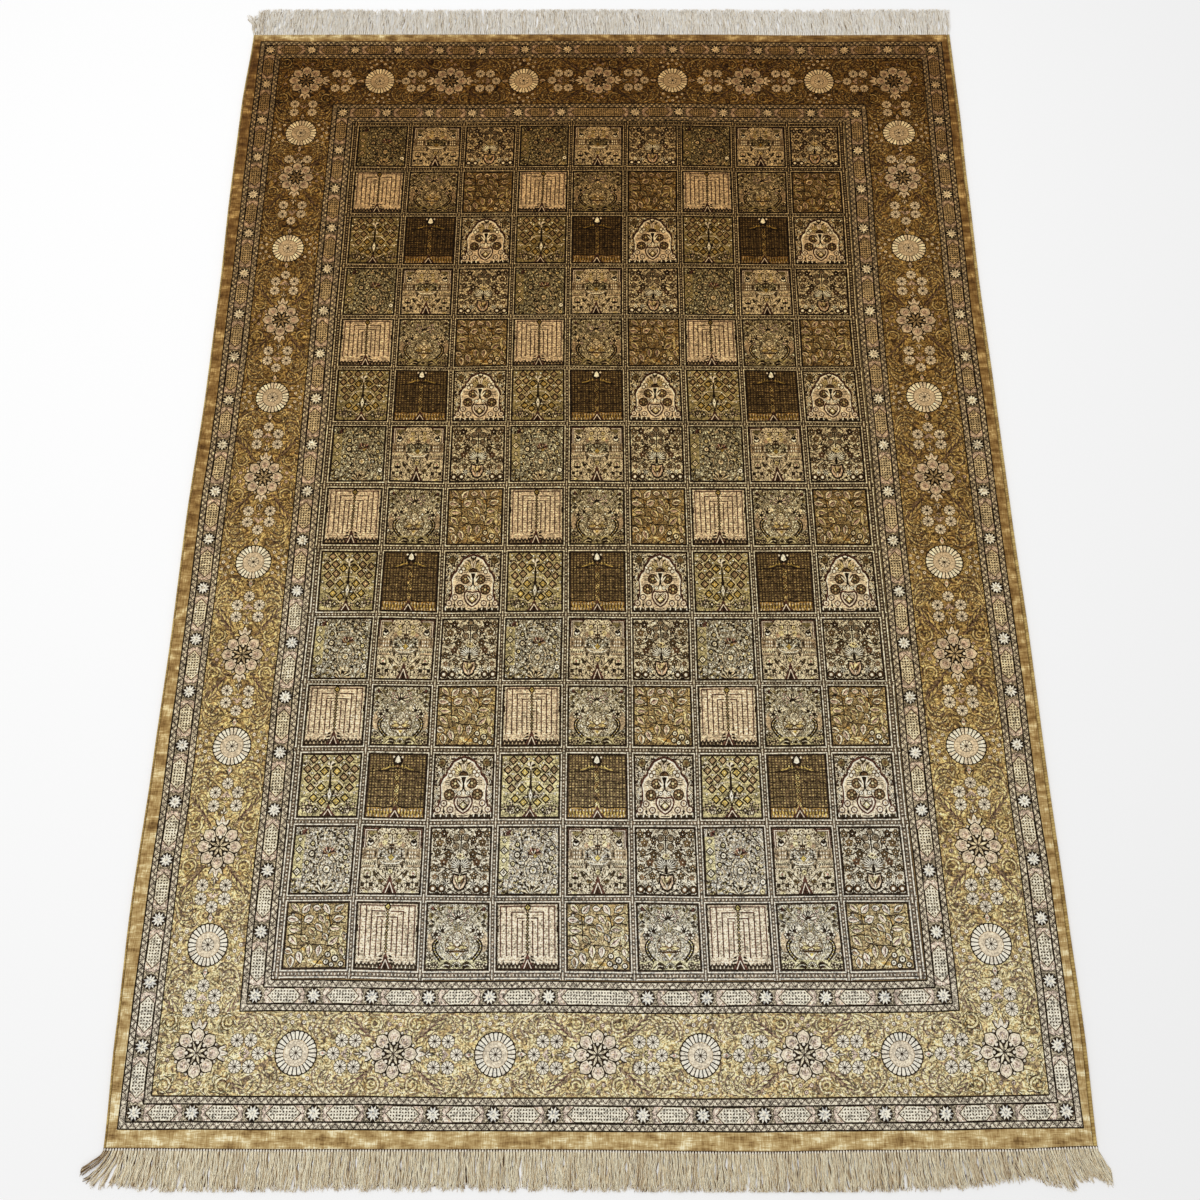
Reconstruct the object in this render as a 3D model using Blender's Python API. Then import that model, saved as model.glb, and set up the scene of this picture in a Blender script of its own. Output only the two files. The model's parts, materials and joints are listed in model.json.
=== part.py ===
"""A knotted silk pile rug lying flat: the pile, its overcast sides, and a row of knots and a fringe at each end.

X runs across the rug, Y from its near end to its far end, and Z up. The rug lies on Z = 0.
"""
import math
import random

import bmesh
import bpy

# Driving dimensions, in metres
HALF_WIDTH = 0.700        # nominal, over the overcast sides
HALF_LENGTH = 1.000       # nominal, of the pile alone
PILE_THICK = 0.0050       # foundation and clipped pile together
PILE_ROUND = 0.0012       # how far the clipped edge rounds off
GAP = 0.0003              # between neighbouring pieces

# Overcast sides: the left one is mostly turned under, so less of it shows
LEFT_CORD = 0.0035
RIGHT_CORD = 0.0065
CORD_THICK = 0.0050

# Row of knots that closes each end, and the fringe of warp ends beyond it
KNOTS_DEEP = 0.0040
KNOTS_THICK = 0.0038
FRINGE_THICK = 0.0040
SPINE_DEEP = 0.0060       # the part of the comb that is not split into teeth
TEETH = 70                # one for every five tassels
SLIT = 0.0012             # between teeth
TIP_TAPER = 0.86          # a tooth's width at its tip over its width at its root
TIP_RAGGED = 0.0030       # how unevenly the tips end
SEED = 7

# How far the tips reach from the pile's nominal middle
REACH_LEFT = 0.729
REACH_RIGHT = 0.718
REACH_NEAR = 1.058
REACH_FAR = 1.074

STEP = 0.050              # between points along an edge

# How far each side stands out from its straight line, in millimetres
# columns: place along Y in metres, left side, right side
SIDE_WANDER = (
    (-1.00, 1.0, 3.0),
    (-0.85, 6.0, 6.5),
    (-0.68, 9.0, 5.0),
    (-0.46, 5.0, 3.2),
    (-0.26, 3.0, 3.6),
    (-0.05, 4.0, 1.2),
    (0.20, -0.5, 0.8),
    (0.40, 0.0, -0.5),
    (0.63, 4.0, 2.2),
    (0.82, 4.5, 5.5),
    (1.00, -1.0, 6.0),
)

# How far each end stands out from its straight line, in millimetres
# columns: place along X in metres, near end, far end
END_WANDER = (
    (-0.70, 2.0, 4.0),
    (-0.45, 3.6, 5.0),
    (-0.10, 3.8, 5.5),
    (0.23, 6.5, 5.0),
    (0.38, 4.5, 3.0),
    (0.57, 3.5, 4.0),
    (0.70, -0.5, 5.0),
)

# How the fringe lies, in millimetres, its length counted from the pile's nominal end
# columns: place along X in metres, near lean to the right, near length, far lean to the right, far length
FRINGE_LIE = (
    (-0.700, -34.0, 34.0, -14.0, 52.0),
    (-0.684, -30.0, 50.0, -4.0, 72.0),
    (-0.672, -9.0, 52.0, 3.0, 72.0),
    (-0.590, -2.0, 57.0, 2.0, 71.0),
    (-0.300, -1.0, 53.0, 0.0, 69.0),
    (0.000, 0.0, 54.0, 0.0, 73.0),
    (0.330, 2.0, 57.0, 1.0, 70.0),
    (0.500, 4.0, 52.0, -1.0, 71.0),
    (0.585, 8.0, 42.0, 2.0, 73.0),
    (0.645, 15.0, 57.0, 5.0, 70.0),
    (0.662, 16.0, 45.0, 3.0, 73.0),
    (0.700, 24.0, 53.0, 6.0, 70.0),
)

# Colours, as red, green, blue
GOLD = (0.42, 0.28, 0.10)
BINDING = (0.45, 0.31, 0.13)
CREAM = (0.72, 0.62, 0.48)
WARP = (0.62, 0.52, 0.40)


def clear_scene():
    """Removes what a new file holds."""
    for item in list(bpy.data.objects):
        bpy.data.objects.remove(item, do_unlink=True)


def between(rows, column, place):
    """A column's value at a place, eased from row to row."""
    if place <= rows[0][0]:
        return rows[0][column]
    for low, high in zip(rows, rows[1:]):
        if place <= high[0]:
            share = (place - low[0]) / (high[0] - low[0])
            share = share * share * (3 - 2 * share)
            return low[column] + (high[column] - low[column]) * share
    return rows[-1][column]


def lay(x, y):
    """Moves a point of the straight, nominal rug to where the uneven one has it, over the origin."""
    across = (x + HALF_WIDTH) / (2 * HALF_WIDTH)
    along = (y + HALF_LENGTH) / (2 * HALF_LENGTH)
    left = between(SIDE_WANDER, 1, y) * 0.001
    right = between(SIDE_WANDER, 2, y) * 0.001
    near = between(END_WANDER, 1, x) * 0.001
    far = between(END_WANDER, 2, x) * 0.001
    moved_x = x - (1 - across) * left + across * right
    moved_y = y - (1 - along) * near + along * far
    return centred(moved_x, moved_y)


def centred(x, y):
    """Moves a point so that the middle of the fringed rug's box is at the origin."""
    return x - (REACH_RIGHT - REACH_LEFT) / 2, y - (REACH_FAR - REACH_NEAR) / 2


def stations(start, end):
    """Evenly spaced places from start to end, both included."""
    count = max(2, math.ceil(abs(end - start) / STEP) + 1)
    return [start + (end - start) * i / (count - 1) for i in range(count)]


def cloth(name, colour, roughness):
    """A material for one piece."""
    material = bpy.data.materials.new(name)
    material.use_nodes = True
    shader = material.node_tree.nodes["Principled BSDF"]
    shader.inputs["Base Color"].default_value = (*colour, 1.0)
    shader.inputs["Roughness"].default_value = roughness
    shader.inputs["Metallic"].default_value = 0.0
    return material


def add_piece(name, shape, material):
    """Turns a bmesh into a named object, with its faces pointing out."""
    bmesh.ops.recalc_face_normals(shape, faces=shape.faces)
    mesh = bpy.data.meshes.new(name)
    shape.to_mesh(mesh)
    shape.free()
    mesh.materials.append(material)
    piece = bpy.data.objects.new(name, mesh)
    bpy.context.scene.collection.objects.link(piece)
    return piece


def slab(outline, thick):
    """A flat solid of an outline, standing on the ground."""
    shape = bmesh.new()
    floor = [shape.verts.new((x, y, 0.0)) for x, y in outline]
    roof = [shape.verts.new((x, y, thick)) for x, y in outline]
    shape.faces.new(floor)
    shape.faces.new(roof)
    for i in range(len(outline)):
        j = (i + 1) % len(outline)
        shape.faces.new((floor[i], floor[j], roof[j], roof[i]))
    return shape


def loft(rings):
    """A closed solid through rings of equally many points, capped at both ends."""
    shape = bmesh.new()
    loops = [[shape.verts.new(point) for point in ring] for ring in rings]
    count = len(loops[0])
    for one, two in zip(loops, loops[1:]):
        for i in range(count):
            j = (i + 1) % count
            shape.faces.new((one[i], one[j], two[j], two[i]))
    shape.faces.new(loops[0])
    shape.faces.new(loops[-1])
    return shape


def pile_outline(inset):
    """The pile's edge, drawn in by an inset, from the near left corner and round by the right."""
    left = -HALF_WIDTH + LEFT_CORD + GAP + inset
    right = HALF_WIDTH - RIGHT_CORD - GAP - inset
    near = -HALF_LENGTH + inset
    far = HALF_LENGTH - inset
    points = [lay(x, near) for x in stations(left, right)[:-1]]
    points += [lay(right, y) for y in stations(near, far)[:-1]]
    points += [lay(x, far) for x in stations(right, left)[:-1]]
    points += [lay(left, y) for y in stations(far, near)[:-1]]
    return points


def make_pile():
    """The knotted field and borders, one flat solid whose clipped top edge is rounded off."""
    levels = (
        (0.0, 0.0),
        (0.0, PILE_THICK - PILE_ROUND),
        (PILE_ROUND, PILE_THICK),
    )
    rings = []
    for inset, height in levels:
        rings.append([(x, y, height) for x, y in pile_outline(inset)])
    return add_piece("pile", loft(rings), cloth("silk_pile", GOLD, 0.55))


def low_section(width, height):
    """A flat-bottomed, round-topped section: offsets from its middle line, and heights."""
    half = width / 2
    return (
        (-half, 0.0),
        (half, 0.0),
        (half, height * 0.55),
        (half * 0.55, height),
        (-half * 0.55, height),
        (-half, height * 0.55),
    )


def make_side(name, middle, width):
    """An overcast cord along one side, over the whole length of the pile."""
    rings = []
    for y in stations(-HALF_LENGTH, HALF_LENGTH):
        rings.append([(*lay(middle + x, y), z) for x, z in low_section(width, CORD_THICK)])
    return add_piece(name, loft(rings), cloth(name, BINDING, 0.6))


def make_knots(name, side):
    """The row of knots that closes one end; side is -1 for the near end and 1 for the far one."""
    middle = side * (HALF_LENGTH + GAP + KNOTS_DEEP / 2)
    rings = []
    for x in stations(-HALF_WIDTH, HALF_WIDTH):
        rings.append([(*lay(x, middle + y), z) for y, z in low_section(KNOTS_DEEP, KNOTS_THICK)])
    return add_piece(name, loft(rings), cloth(name, CREAM, 0.7))


def held_in(x, y):
    """A fringe tip, kept within the reach of the whole rug."""
    x = min(max(x, -REACH_LEFT), REACH_RIGHT)
    y = min(max(y, -REACH_NEAR), REACH_FAR)
    return centred(x, y)


def make_fringe(name, side, lean_column, length_column):
    """One comb of warp ends along one end; side is -1 for the near end and 1 for the far one."""
    pick = random.Random(SEED + side)
    root = side * (HALF_LENGTH + KNOTS_DEEP + 2 * GAP)
    split = root + side * SPINE_DEEP
    pitch = 2 * HALF_WIDTH / TEETH
    outline = [lay(x, root) for x in stations(HALF_WIDTH, -HALF_WIDTH)]
    for tooth in range(TEETH):
        start = -HALF_WIDTH + tooth * pitch
        middle = start + pitch / 2
        lean = between(FRINGE_LIE, lean_column, middle) * 0.001
        length = between(FRINGE_LIE, length_column, middle) * 0.001
        half_tip = TIP_TAPER * (pitch - SLIT) / 2
        left_end = side * (HALF_LENGTH + length + pick.uniform(-TIP_RAGGED, TIP_RAGGED))
        right_end = side * (HALF_LENGTH + length + pick.uniform(-TIP_RAGGED, TIP_RAGGED))
        outline.append(lay(start + SLIT / 2, split))
        outline.append(held_in(middle + lean - half_tip, left_end))
        outline.append(held_in(middle + lean + half_tip, right_end))
        outline.append(lay(start + pitch - SLIT / 2, split))
    return add_piece(name, slab(outline, FRINGE_THICK), cloth(name, WARP, 0.8))


def main():
    """Makes the whole rug."""
    clear_scene()
    make_pile()
    make_side("selvedge_left", -HALF_WIDTH + LEFT_CORD / 2, LEFT_CORD)
    make_side("selvedge_right", HALF_WIDTH - RIGHT_CORD / 2, RIGHT_CORD)
    make_knots("knots_near", -1)
    make_knots("knots_far", 1)
    make_fringe("fringe_near", -1, 1, 2)
    make_fringe("fringe_far", 1, 3, 4)


main()
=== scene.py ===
"""Looks of a knotted silk pile rug: its woven panels and borders, overcast sides, rows of knots and fringes.

Patterns are drawn in millimetres. A place on the whole rug is a plan place: across from the far left corner,
and along from the far end towards the near one. frame_place() turns plan places into metres in the frame.
"""
import json
import math

import bpy
import numpy as np
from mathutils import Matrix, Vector
from mathutils.bvhtree import BVHTree
from mathutils.geometry import delaunay_2d_cdt

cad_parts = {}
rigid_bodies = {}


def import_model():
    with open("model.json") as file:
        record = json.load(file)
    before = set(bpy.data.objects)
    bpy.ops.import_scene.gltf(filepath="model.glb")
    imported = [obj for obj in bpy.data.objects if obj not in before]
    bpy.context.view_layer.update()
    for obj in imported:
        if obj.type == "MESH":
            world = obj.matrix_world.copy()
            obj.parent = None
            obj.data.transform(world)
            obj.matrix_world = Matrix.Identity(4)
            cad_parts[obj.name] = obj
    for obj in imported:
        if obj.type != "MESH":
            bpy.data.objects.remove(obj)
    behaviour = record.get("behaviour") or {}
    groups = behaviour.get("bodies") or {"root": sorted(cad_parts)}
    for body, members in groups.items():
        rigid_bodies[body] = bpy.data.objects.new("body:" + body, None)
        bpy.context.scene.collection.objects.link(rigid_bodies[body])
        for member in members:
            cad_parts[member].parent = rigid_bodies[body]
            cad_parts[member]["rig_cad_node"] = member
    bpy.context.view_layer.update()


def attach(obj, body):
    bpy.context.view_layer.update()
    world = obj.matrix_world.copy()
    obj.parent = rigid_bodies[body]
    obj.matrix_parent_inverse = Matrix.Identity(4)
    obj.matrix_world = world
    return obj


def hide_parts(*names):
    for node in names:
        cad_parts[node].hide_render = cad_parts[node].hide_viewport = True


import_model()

SEED = 7
MM = 0.001
FULL_TURN = 2 * math.pi

# The rug's own sizes, in metres, as its solids have them
HALF_WIDTH = 0.700
HALF_LENGTH = 1.000
PILE_THICK = 0.0050
GAP = 0.0003
LEFT_CORD = 0.0035
RIGHT_CORD = 0.0065
KNOTS_DEEP = 0.0040
REACH_LEFT = 0.729
REACH_RIGHT = 0.718
REACH_NEAR = 1.058
REACH_FAR = 1.074

# How far each side stands out from its straight line, in millimetres
# columns: place along Y in metres, left side, right side
SIDE_WANDER = (
    (-1.00, 1.0, 3.0),
    (-0.85, 6.0, 6.5),
    (-0.68, 9.0, 5.0),
    (-0.46, 5.0, 3.2),
    (-0.26, 3.0, 3.6),
    (-0.05, 4.0, 1.2),
    (0.20, -0.5, 0.8),
    (0.40, 0.0, -0.5),
    (0.63, 4.0, 2.2),
    (0.82, 4.5, 5.5),
    (1.00, -1.0, 6.0),
)

# How far each end stands out from its straight line, in millimetres
# columns: place along X in metres, near end, far end
END_WANDER = (
    (-0.70, 2.0, 4.0),
    (-0.45, 3.6, 5.0),
    (-0.10, 3.8, 5.5),
    (0.23, 6.5, 5.0),
    (0.38, 4.5, 3.0),
    (0.57, 3.5, 4.0),
    (0.70, -0.5, 5.0),
)

# How the fringe lies, in millimetres, its length counted from the pile's nominal end
# columns: place along X in metres, near lean to the right, near length, far lean to the right, far length
FRINGE_LIE = (
    (-0.700, -34.0, 34.0, -14.0, 52.0),
    (-0.684, -30.0, 50.0, -4.0, 72.0),
    (-0.672, -9.0, 52.0, 3.0, 72.0),
    (-0.590, -2.0, 57.0, 2.0, 71.0),
    (-0.300, -1.0, 53.0, 0.0, 69.0),
    (0.000, 0.0, 54.0, 0.0, 73.0),
    (0.330, 2.0, 57.0, 1.0, 70.0),
    (0.500, 4.0, 52.0, -1.0, 71.0),
    (0.585, 8.0, 42.0, 2.0, 73.0),
    (0.645, 15.0, 57.0, 5.0, 70.0),
    (0.662, 16.0, 45.0, 3.0, 73.0),
    (0.700, 24.0, 53.0, 6.0, 70.0),
)

# The plan, in millimetres: where each band starts and ends, from the outside in
PLAN_WIDTH = 1400.0
PLAN_LENGTH = 2000.0
GUARD_DEEP = 44.0         # a stripe, a band of cartouches and a stripe
OUTER_GUARD = (14.8, 1385.8, 13.5, 1980.0)    # its outer edge: left, right, far, near
BORDER = (58.8, 1341.8, 56.0, 1935.5)
INNER_GUARD = (171.6, 1227.0, 169.5, 1824.5)
LATTICE = (215.6, 1182.0, 213.5, 1779.5)
LATTICE_DEEP = 11.0
PANEL_LEFT = 228.6        # of the first column
PANEL_PITCH = 105.6
PANEL_WIDE = 94.6
COLUMNS = 9

# Where each row of panels starts and ends along the plan
PANEL_ROWS = (
    (224.5, 318.5),
    (331.0, 425.0),
    (434.0, 538.0),
    (548.0, 647.0),
    (656.0, 753.0),
    (761.0, 862.0),
    (872.0, 978.0),
    (991.0, 1093.0),
    (1106.0, 1211.5),
    (1223.0, 1326.0),
    (1336.0, 1433.0),
    (1446.0, 1545.5),
    (1558.0, 1659.0),
    (1670.0, 1766.0),
)
ROW_KINDS = ("ABC", "DEF", "GHI")
LAST_ROW = "FDEDFEDEF"

# How far the bands wander to the right of the plan, in millimetres
# columns: plan place along, outer left bands, inner left, inner right, outer right
BAND_DRIFT = (
    (0, 2.5, 4.0, -3.0, 1.5),
    (70, 2.8, 4.0, -3.6, 0.5),
    (200, 3.6, 3.6, -5.0, -1.5),
    (330, 4.4, 3.2, -8.3, -4.2),
    (480, 5.3, 2.6, -11.2, -6.5),
    (600, 6.5, 3.4, -13.7, -8.6),
    (750, 7.6, 4.4, -14.0, -8.0),
    (900, 6.2, 5.2, -12.6, -7.0),
    (1050, 3.8, 5.0, -11.2, -6.2),
    (1200, 3.8, 4.4, -9.7, -5.2),
    (1350, 2.8, 1.9, -8.0, -3.2),
    (1500, 2.9, 2.0, -7.4, -4.2),
    (1650, -0.4, -0.4, -3.5, -1.2),
    (1800, 0.0, 0.0, 0.0, 0.2),
    (2000, 0.0, 0.5, 0.5, 0.0),
)

# How far the bands bow towards the near end, in millimetres
# columns: plan place across, far bands, near bands
BAND_BOW = (
    (0, -1.0, -0.5),
    (300, 0.6, -0.8),
    (450, 1.0, 1.2),
    (600, -1.4, 1.2),
    (850, -1.6, 2.6),
    (1000, 1.0, 1.6),
    (1150, 1.8, 0.5),
    (1280, 0.0, -2.0),
    (1400, 0.0, -2.5),
)


def eased(rows, column, places):
    """A column's value at each place, eased from row to row as the solids have it."""
    marks = np.array([row[0] for row in rows], float)
    values = np.array([row[column] for row in rows], float)
    index = np.clip(np.searchsorted(marks, places) - 1, 0, len(marks) - 2)
    share = np.clip((places - marks[index]) / (marks[index + 1] - marks[index]), 0, 1)
    share = share * share * (3 - 2 * share)
    return values[index] + (values[index + 1] - values[index]) * share


def lay(x, y):
    """Moves points of the straight, nominal rug to where the uneven one has them, over the origin."""
    across = (x + HALF_WIDTH) / (2 * HALF_WIDTH)
    along = (y + HALF_LENGTH) / (2 * HALF_LENGTH)
    left = eased(SIDE_WANDER, 1, y) * MM
    right = eased(SIDE_WANDER, 2, y) * MM
    near = eased(END_WANDER, 1, x) * MM
    far = eased(END_WANDER, 2, x) * MM
    return centred(x - (1 - across) * left + across * right, y - (1 - along) * near + along * far)


def centred(x, y):
    """Moves points so that the middle of the fringed rug's box is at the origin."""
    return x - (REACH_RIGHT - REACH_LEFT) / 2, y - (REACH_FAR - REACH_NEAR) / 2


def between_anchors(places, anchors, shifts):
    """The shift at each place, straight from anchor to anchor; shifts has a row for each anchor."""
    anchors = np.array(anchors, float)
    index = np.clip(np.searchsorted(anchors, places) - 1, 0, len(anchors) - 2)
    share = np.clip((places - anchors[index]) / (anchors[index + 1] - anchors[index]), 0, 1)
    item = np.arange(len(places))
    return shifts[index, item] * (1 - share) + shifts[index + 1, item] * share


def frame_place(across, along):
    """Metres in the frame for plan places in millimetres, with the drift and bow of the bands."""
    across, along = np.asarray(across, float), np.asarray(along, float)
    x, y = across * MM - HALF_WIDTH, HALF_LENGTH - along * MM
    left_edge, right_edge = LEFT_CORD + GAP, 2 * HALF_WIDTH - RIGHT_CORD - GAP
    drift = [eased(BAND_DRIFT, column, along) for column in (1, 1, 2, 2, 3, 3, 4, 4)]
    edges = [lay(np.full_like(x, edge - HALF_WIDTH), y)[0] for edge in (left_edge, right_edge)]
    edges = [(x_edge - centred(edge - HALF_WIDTH, 0)[0]) / MM for x_edge, edge in
             zip(edges, (left_edge, right_edge))]
    anchors = (left_edge / MM, OUTER_GUARD[0], BORDER[0], INNER_GUARD[0], PANEL_LEFT,
               LATTICE[1] - LATTICE_DEEP, INNER_GUARD[1], BORDER[1], OUTER_GUARD[1], right_edge / MM)
    shift_x = between_anchors(across, anchors, np.array([edges[0], *drift, edges[1]]))
    bow = [eased(BAND_BOW, column, across) for column in (1, 1, 2, 2)]
    ends = [lay(x, np.full_like(y, end))[1] for end in (HALF_LENGTH, -HALF_LENGTH)]
    ends = [(centred(0, end)[1] - y_end) / MM for y_end, end in zip(ends, (HALF_LENGTH, -HALF_LENGTH))]
    anchors = (0.0, OUTER_GUARD[2], INNER_GUARD[2] + GUARD_DEEP, INNER_GUARD[3] - GUARD_DEEP,
               OUTER_GUARD[3], PLAN_LENGTH)
    shift_y = between_anchors(along, anchors, np.array([ends[0], *bow, ends[1]]))
    return centred(x + shift_x * MM, y - shift_y * MM)


# Dyes of the silk, as red, green and blue on a screen, seen where the painted sheen is strongest
DYES = {
    "outline": (44, 33, 22),
    "black": (36, 27, 18),
    "brown": (98, 74, 48),
    "bark": (88, 58, 46),
    "rose": (186, 142, 122),
    "peach": (224, 196, 162),
    "petal": (238, 224, 198),
    "disc": (222, 204, 174),
    "white": (250, 242, 220),
    "cream": (224, 205, 172),
    "cream_shade": (190, 168, 134),
    "gold": (190, 164, 110),
    "gold_light": (212, 192, 134),
    "umber": (152, 124, 74),
    "amber": (180, 146, 84),
    "straw": (222, 206, 156),
    "yellow": (204, 180, 104),
    "khaki": (180, 166, 124),
    "lime": (196, 184, 138),
    "olive": (130, 116, 76),
    "leaf_dark": (68, 56, 36),
    "slate": (70, 60, 44),
    "grey": (140, 124, 98),
    "grey_light": (208, 190, 154),
    "guard_dark": (62, 49, 37),
    "guard_light": (224, 208, 180),
    "guard_rose": (202, 178, 156),
    "tan": (166, 140, 104),
    "thatch": (108, 88, 60),
    "courses": (224, 201, 168),
    "chain": (128, 112, 90),
    "zigzag": (166, 152, 132),
    "dots": (234, 222, 192),
    "leafy": (200, 180, 144),
    "meadow": (174, 156, 114),
    "husk": (158, 134, 94),
    "speckle": (134, 120, 98),
    "sward": (224, 208, 176),
    "plum": (112, 92, 76),
    "star": (250, 245, 232),
    "frost": (240, 228, 198),
    "blush": (206, 182, 160),
    "ivory": (232, 213, 180),
}

# How each channel follows a dye's own steadiness under the painted sheen
STEADY_PARTS = (1.0, 1.15, 1.4)
DYE_NAMES = list(DYES)


def linear(colour):
    """A colour on a screen, from 0 to 255, as linear light."""
    return tuple(part / 255 / 12.92 if part <= 10 else ((part / 255 + 0.055) / 1.055) ** 2.4
                 for part in colour)


# Painted sheen: silk is painted paler towards the near end, as it looks against its nap. What shows at the
# near end is 1 - (1 - dye) ** power
SHEEN_POWERS = (3.6, 4.9, 8.0)    # for red, green and blue

# Under the painted sheen, pale dyes change less along the rug than the rest, and gold and green ones change
# more
STEADY = {"white": 0.72, "petal": 0.72, "disc": 0.7, "peach": 0.76, "cream": 0.74, "courses": 0.78,
          "rose": 0.85, "guard_light": 0.85, "guard_rose": 0.8, "grey_light": 1.5, "straw": 1.1,
          "gold": 1.75, "umber": 1.6, "khaki": 1.9, "meadow": 2.9, "leafy": 1.45, "husk": 1.6, "chain": 1.9,
          "lime": 1.6, "thatch": 1.9, "zigzag": 0.88, "dots": 1.7, "yellow": 1.5, "amber": 1.5,
          "gold_light": 1.5, "sward": 1.1, "speckle": 0.92, "plum": 1.1, "star": 1.2, "frost": 1.45,
          "blush": 1.7, "ivory": 0.76}

DYE_STEADY = np.array([STEADY.get(name, 1.0) for name in DYE_NAMES], np.float32)


def dye_of(colour, steady=1.0):
    """A screen colour seen at the near end, under the strongest painted sheen, as the linear dye the
    material starts from.
    """
    powers = [power * steady ** part for power, part in zip(SHEEN_POWERS, STEADY_PARTS)]
    return tuple(1 - (1 - min(part, 0.985)) ** (1 / power) for part, power in zip(linear(colour), powers))


DYE_COLOURS = np.array([(*dye_of(dye, steady), steady) for dye, steady in zip(DYES.values(), DYE_STEADY)],
                       np.float32)

# Small repeating patterns that fill the ground of some dyes, worked out in the silk's material
INLAYS = ("plain", "garden", "leafy", "husk", "scroll", "thatch", "courses", "chain", "zigzag", "dots",
          "sprigs")
INLAY_OF = {"khaki": "garden", "meadow": "garden", "leafy": "leafy", "husk": "husk", "gold": "scroll",
            "umber": "scroll", "thatch": "thatch", "courses": "courses", "chain": "chain",
            "zigzag": "zigzag", "speckle": "zigzag", "dots": "dots", "cream": "sprigs", "sward": "sprigs"}
DYE_INLAYS = np.array([INLAYS.index(INLAY_OF.get(name, "plain")) for name in DYE_NAMES], np.float32)

# Drawings
KIND_STEP = 100.0         # between the motif numbers of one kind of drawing and the next
STRIP_KIND, KNOT_KIND = 11, 12
CLOSE = 1e-4              # corners nearer than this are one, in millimetres
SPECK = 0.01              # outlines with less than this area are left out


class Drawing:
    """Flat shapes in millimetres, x to the right and y downwards, each hiding those before it."""

    def __init__(self, ink, width, height, start=0.0, axis=0.0, kind=0, repeat=None):
        self.axis, self.kind = axis, kind
        self.fit = round(width / repeat) * repeat / width if repeat else 1.0
        self.shapes = []
        self.box(ink, start, 0, width, height)

    def shape(self, ink, points):
        """Fills an outline."""
        self.shapes.append((ink, [(float(x), float(y)) for x, y in points]))

    def box(self, ink, x0, y0, x1, y1):
        """Fills an upright rectangle."""
        self.shape(ink, ((x0, y0), (x1, y0), (x1, y1), (x0, y1)))

    def disc(self, ink, x, y, radius, sides=10, squash=1.0, turn=0.0):
        """Fills a disc, or an ellipse turned by an angle in degrees; a small one has fewer sides."""
        sides = min(sides, 4 + int(radius * 1.6))
        points = []
        for i in range(sides):
            angle = FULL_TURN * (i + 0.5) / sides
            points.append((radius * math.cos(angle), radius * squash * math.sin(angle)))
        self.shape(ink, turned(points, x, y, turn))

    def diamond(self, ink, x, y, half_wide, half_high):
        """Fills a diamond."""
        self.shape(ink, ((x - half_wide, y), (x, y - half_high), (x + half_wide, y), (x, y + half_high)))

    def stroke(self, ink, points, width, end_width=None, smooth=3):
        """Fills a ribbon along a line through the points, from one width to another."""
        end_width = width if end_width is None else end_width
        path = smoothed(points, smooth)
        left, right = [], []
        for i, (x, y) in enumerate(path):
            (xa, ya), (xb, yb) = path[max(i - 1, 0)], path[min(i + 1, len(path) - 1)]
            size = math.hypot(xb - xa, yb - ya) or 1.0
            half = (width + (end_width - width) * i / (len(path) - 1)) / 2
            across = (-(yb - ya) / size * half, (xb - xa) / size * half)
            left.append((x + across[0], y + across[1]))
            right.append((x - across[0], y - across[1]))
        self.shape(ink, left + right[::-1])

    def leaf(self, ink, x, y, angle, length, width, bend=0.0):
        """Fills a leaf from its foot at x, y; the angle in degrees turns from right to down."""
        steps = 2 if length < 5 else 3 if length < 12 else 4
        top, low = [], []
        for i in range(steps + 1):
            along = i / steps
            half = width / 2 * math.sin(math.pi * along ** 0.8)
            sag = bend * along * along
            top.append((along * length, sag - half))
            low.append((along * length, sag + half))
        self.shape(ink, turned(top + low[-2:0:-1], x, y, angle))

    def discs(self, x, y, rows):
        """Discs round one middle, each hiding part of the last, in rows of ink, radius and sides."""
        for ink, *size in rows:
            self.disc(ink, x, y, *size)

    def diamonds(self, x, y, rows):
        """Diamonds round one middle, in rows of ink, half width and half height."""
        for ink, *size in rows:
            self.diamond(ink, x, y, *size)

    def ring(self, x, y, reach, count, rows, turn=0):
        """Discs at even steps round a middle, in rows of ink, radius and sides."""
        for k in range(count):
            self.discs(*spot(x, y, 360 * k / count + turn, reach), rows)

    def leaves(self, rows):
        """Leaves in rows of ink, x, y, angle, length and width, and how far each is bent."""
        for row in rows:
            self.leaf(*row)

    def strokes(self, rows):
        """Ribbons in rows of ink, points and widths."""
        for row in rows:
            self.stroke(*row)

    def fan(self, inks, x, y, angles, length, width, start=0.0):
        """Leaves that spread from one place, in turning inks."""
        for i, angle in enumerate(angles):
            foot = spot(x, y, angle, start)
            self.leaf(inks[i % len(inks)], *foot, angle, length, width)

    def ringed(self, x, y, radius, outer="outline", inner="white", heart="brown", sides=10):
        """A round flower: a dark ring, a pale disc and its heart."""
        self.disc(outer, x, y, radius, sides)
        self.disc(inner, x, y, radius * 0.74, sides)
        self.disc(heart, x, y, radius * 0.3, 6)

    def rosette(self, x, y, radius, petals=8, ground="outline", ink="petal", heart="outline"):
        """A round flower of wedge petals on a dark ground."""
        self.disc(ground, x, y, radius, 12)
        sector = FULL_TURN / petals
        for k in range(petals):
            points = []
            for reach, swing in ((0.16, 0), (0.62, -0.41), (0.92, -0.35), (0.92, 0.35), (0.62, 0.41)):
                angle = sector * (k + 0.5 + swing)
                points.append((x + radius * reach * math.cos(angle), y + radius * reach * math.sin(angle)))
            self.shape(ink, points)
        self.disc(heart, x, y, radius * 0.15, 6)

    def mirror(self, since, axis):
        """Repeats the shapes drawn since a count, turned over an upright axis."""
        for ink, points in self.shapes[since:]:
            self.shape(ink, [(2 * axis - x, y) for x, y in points])

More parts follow.
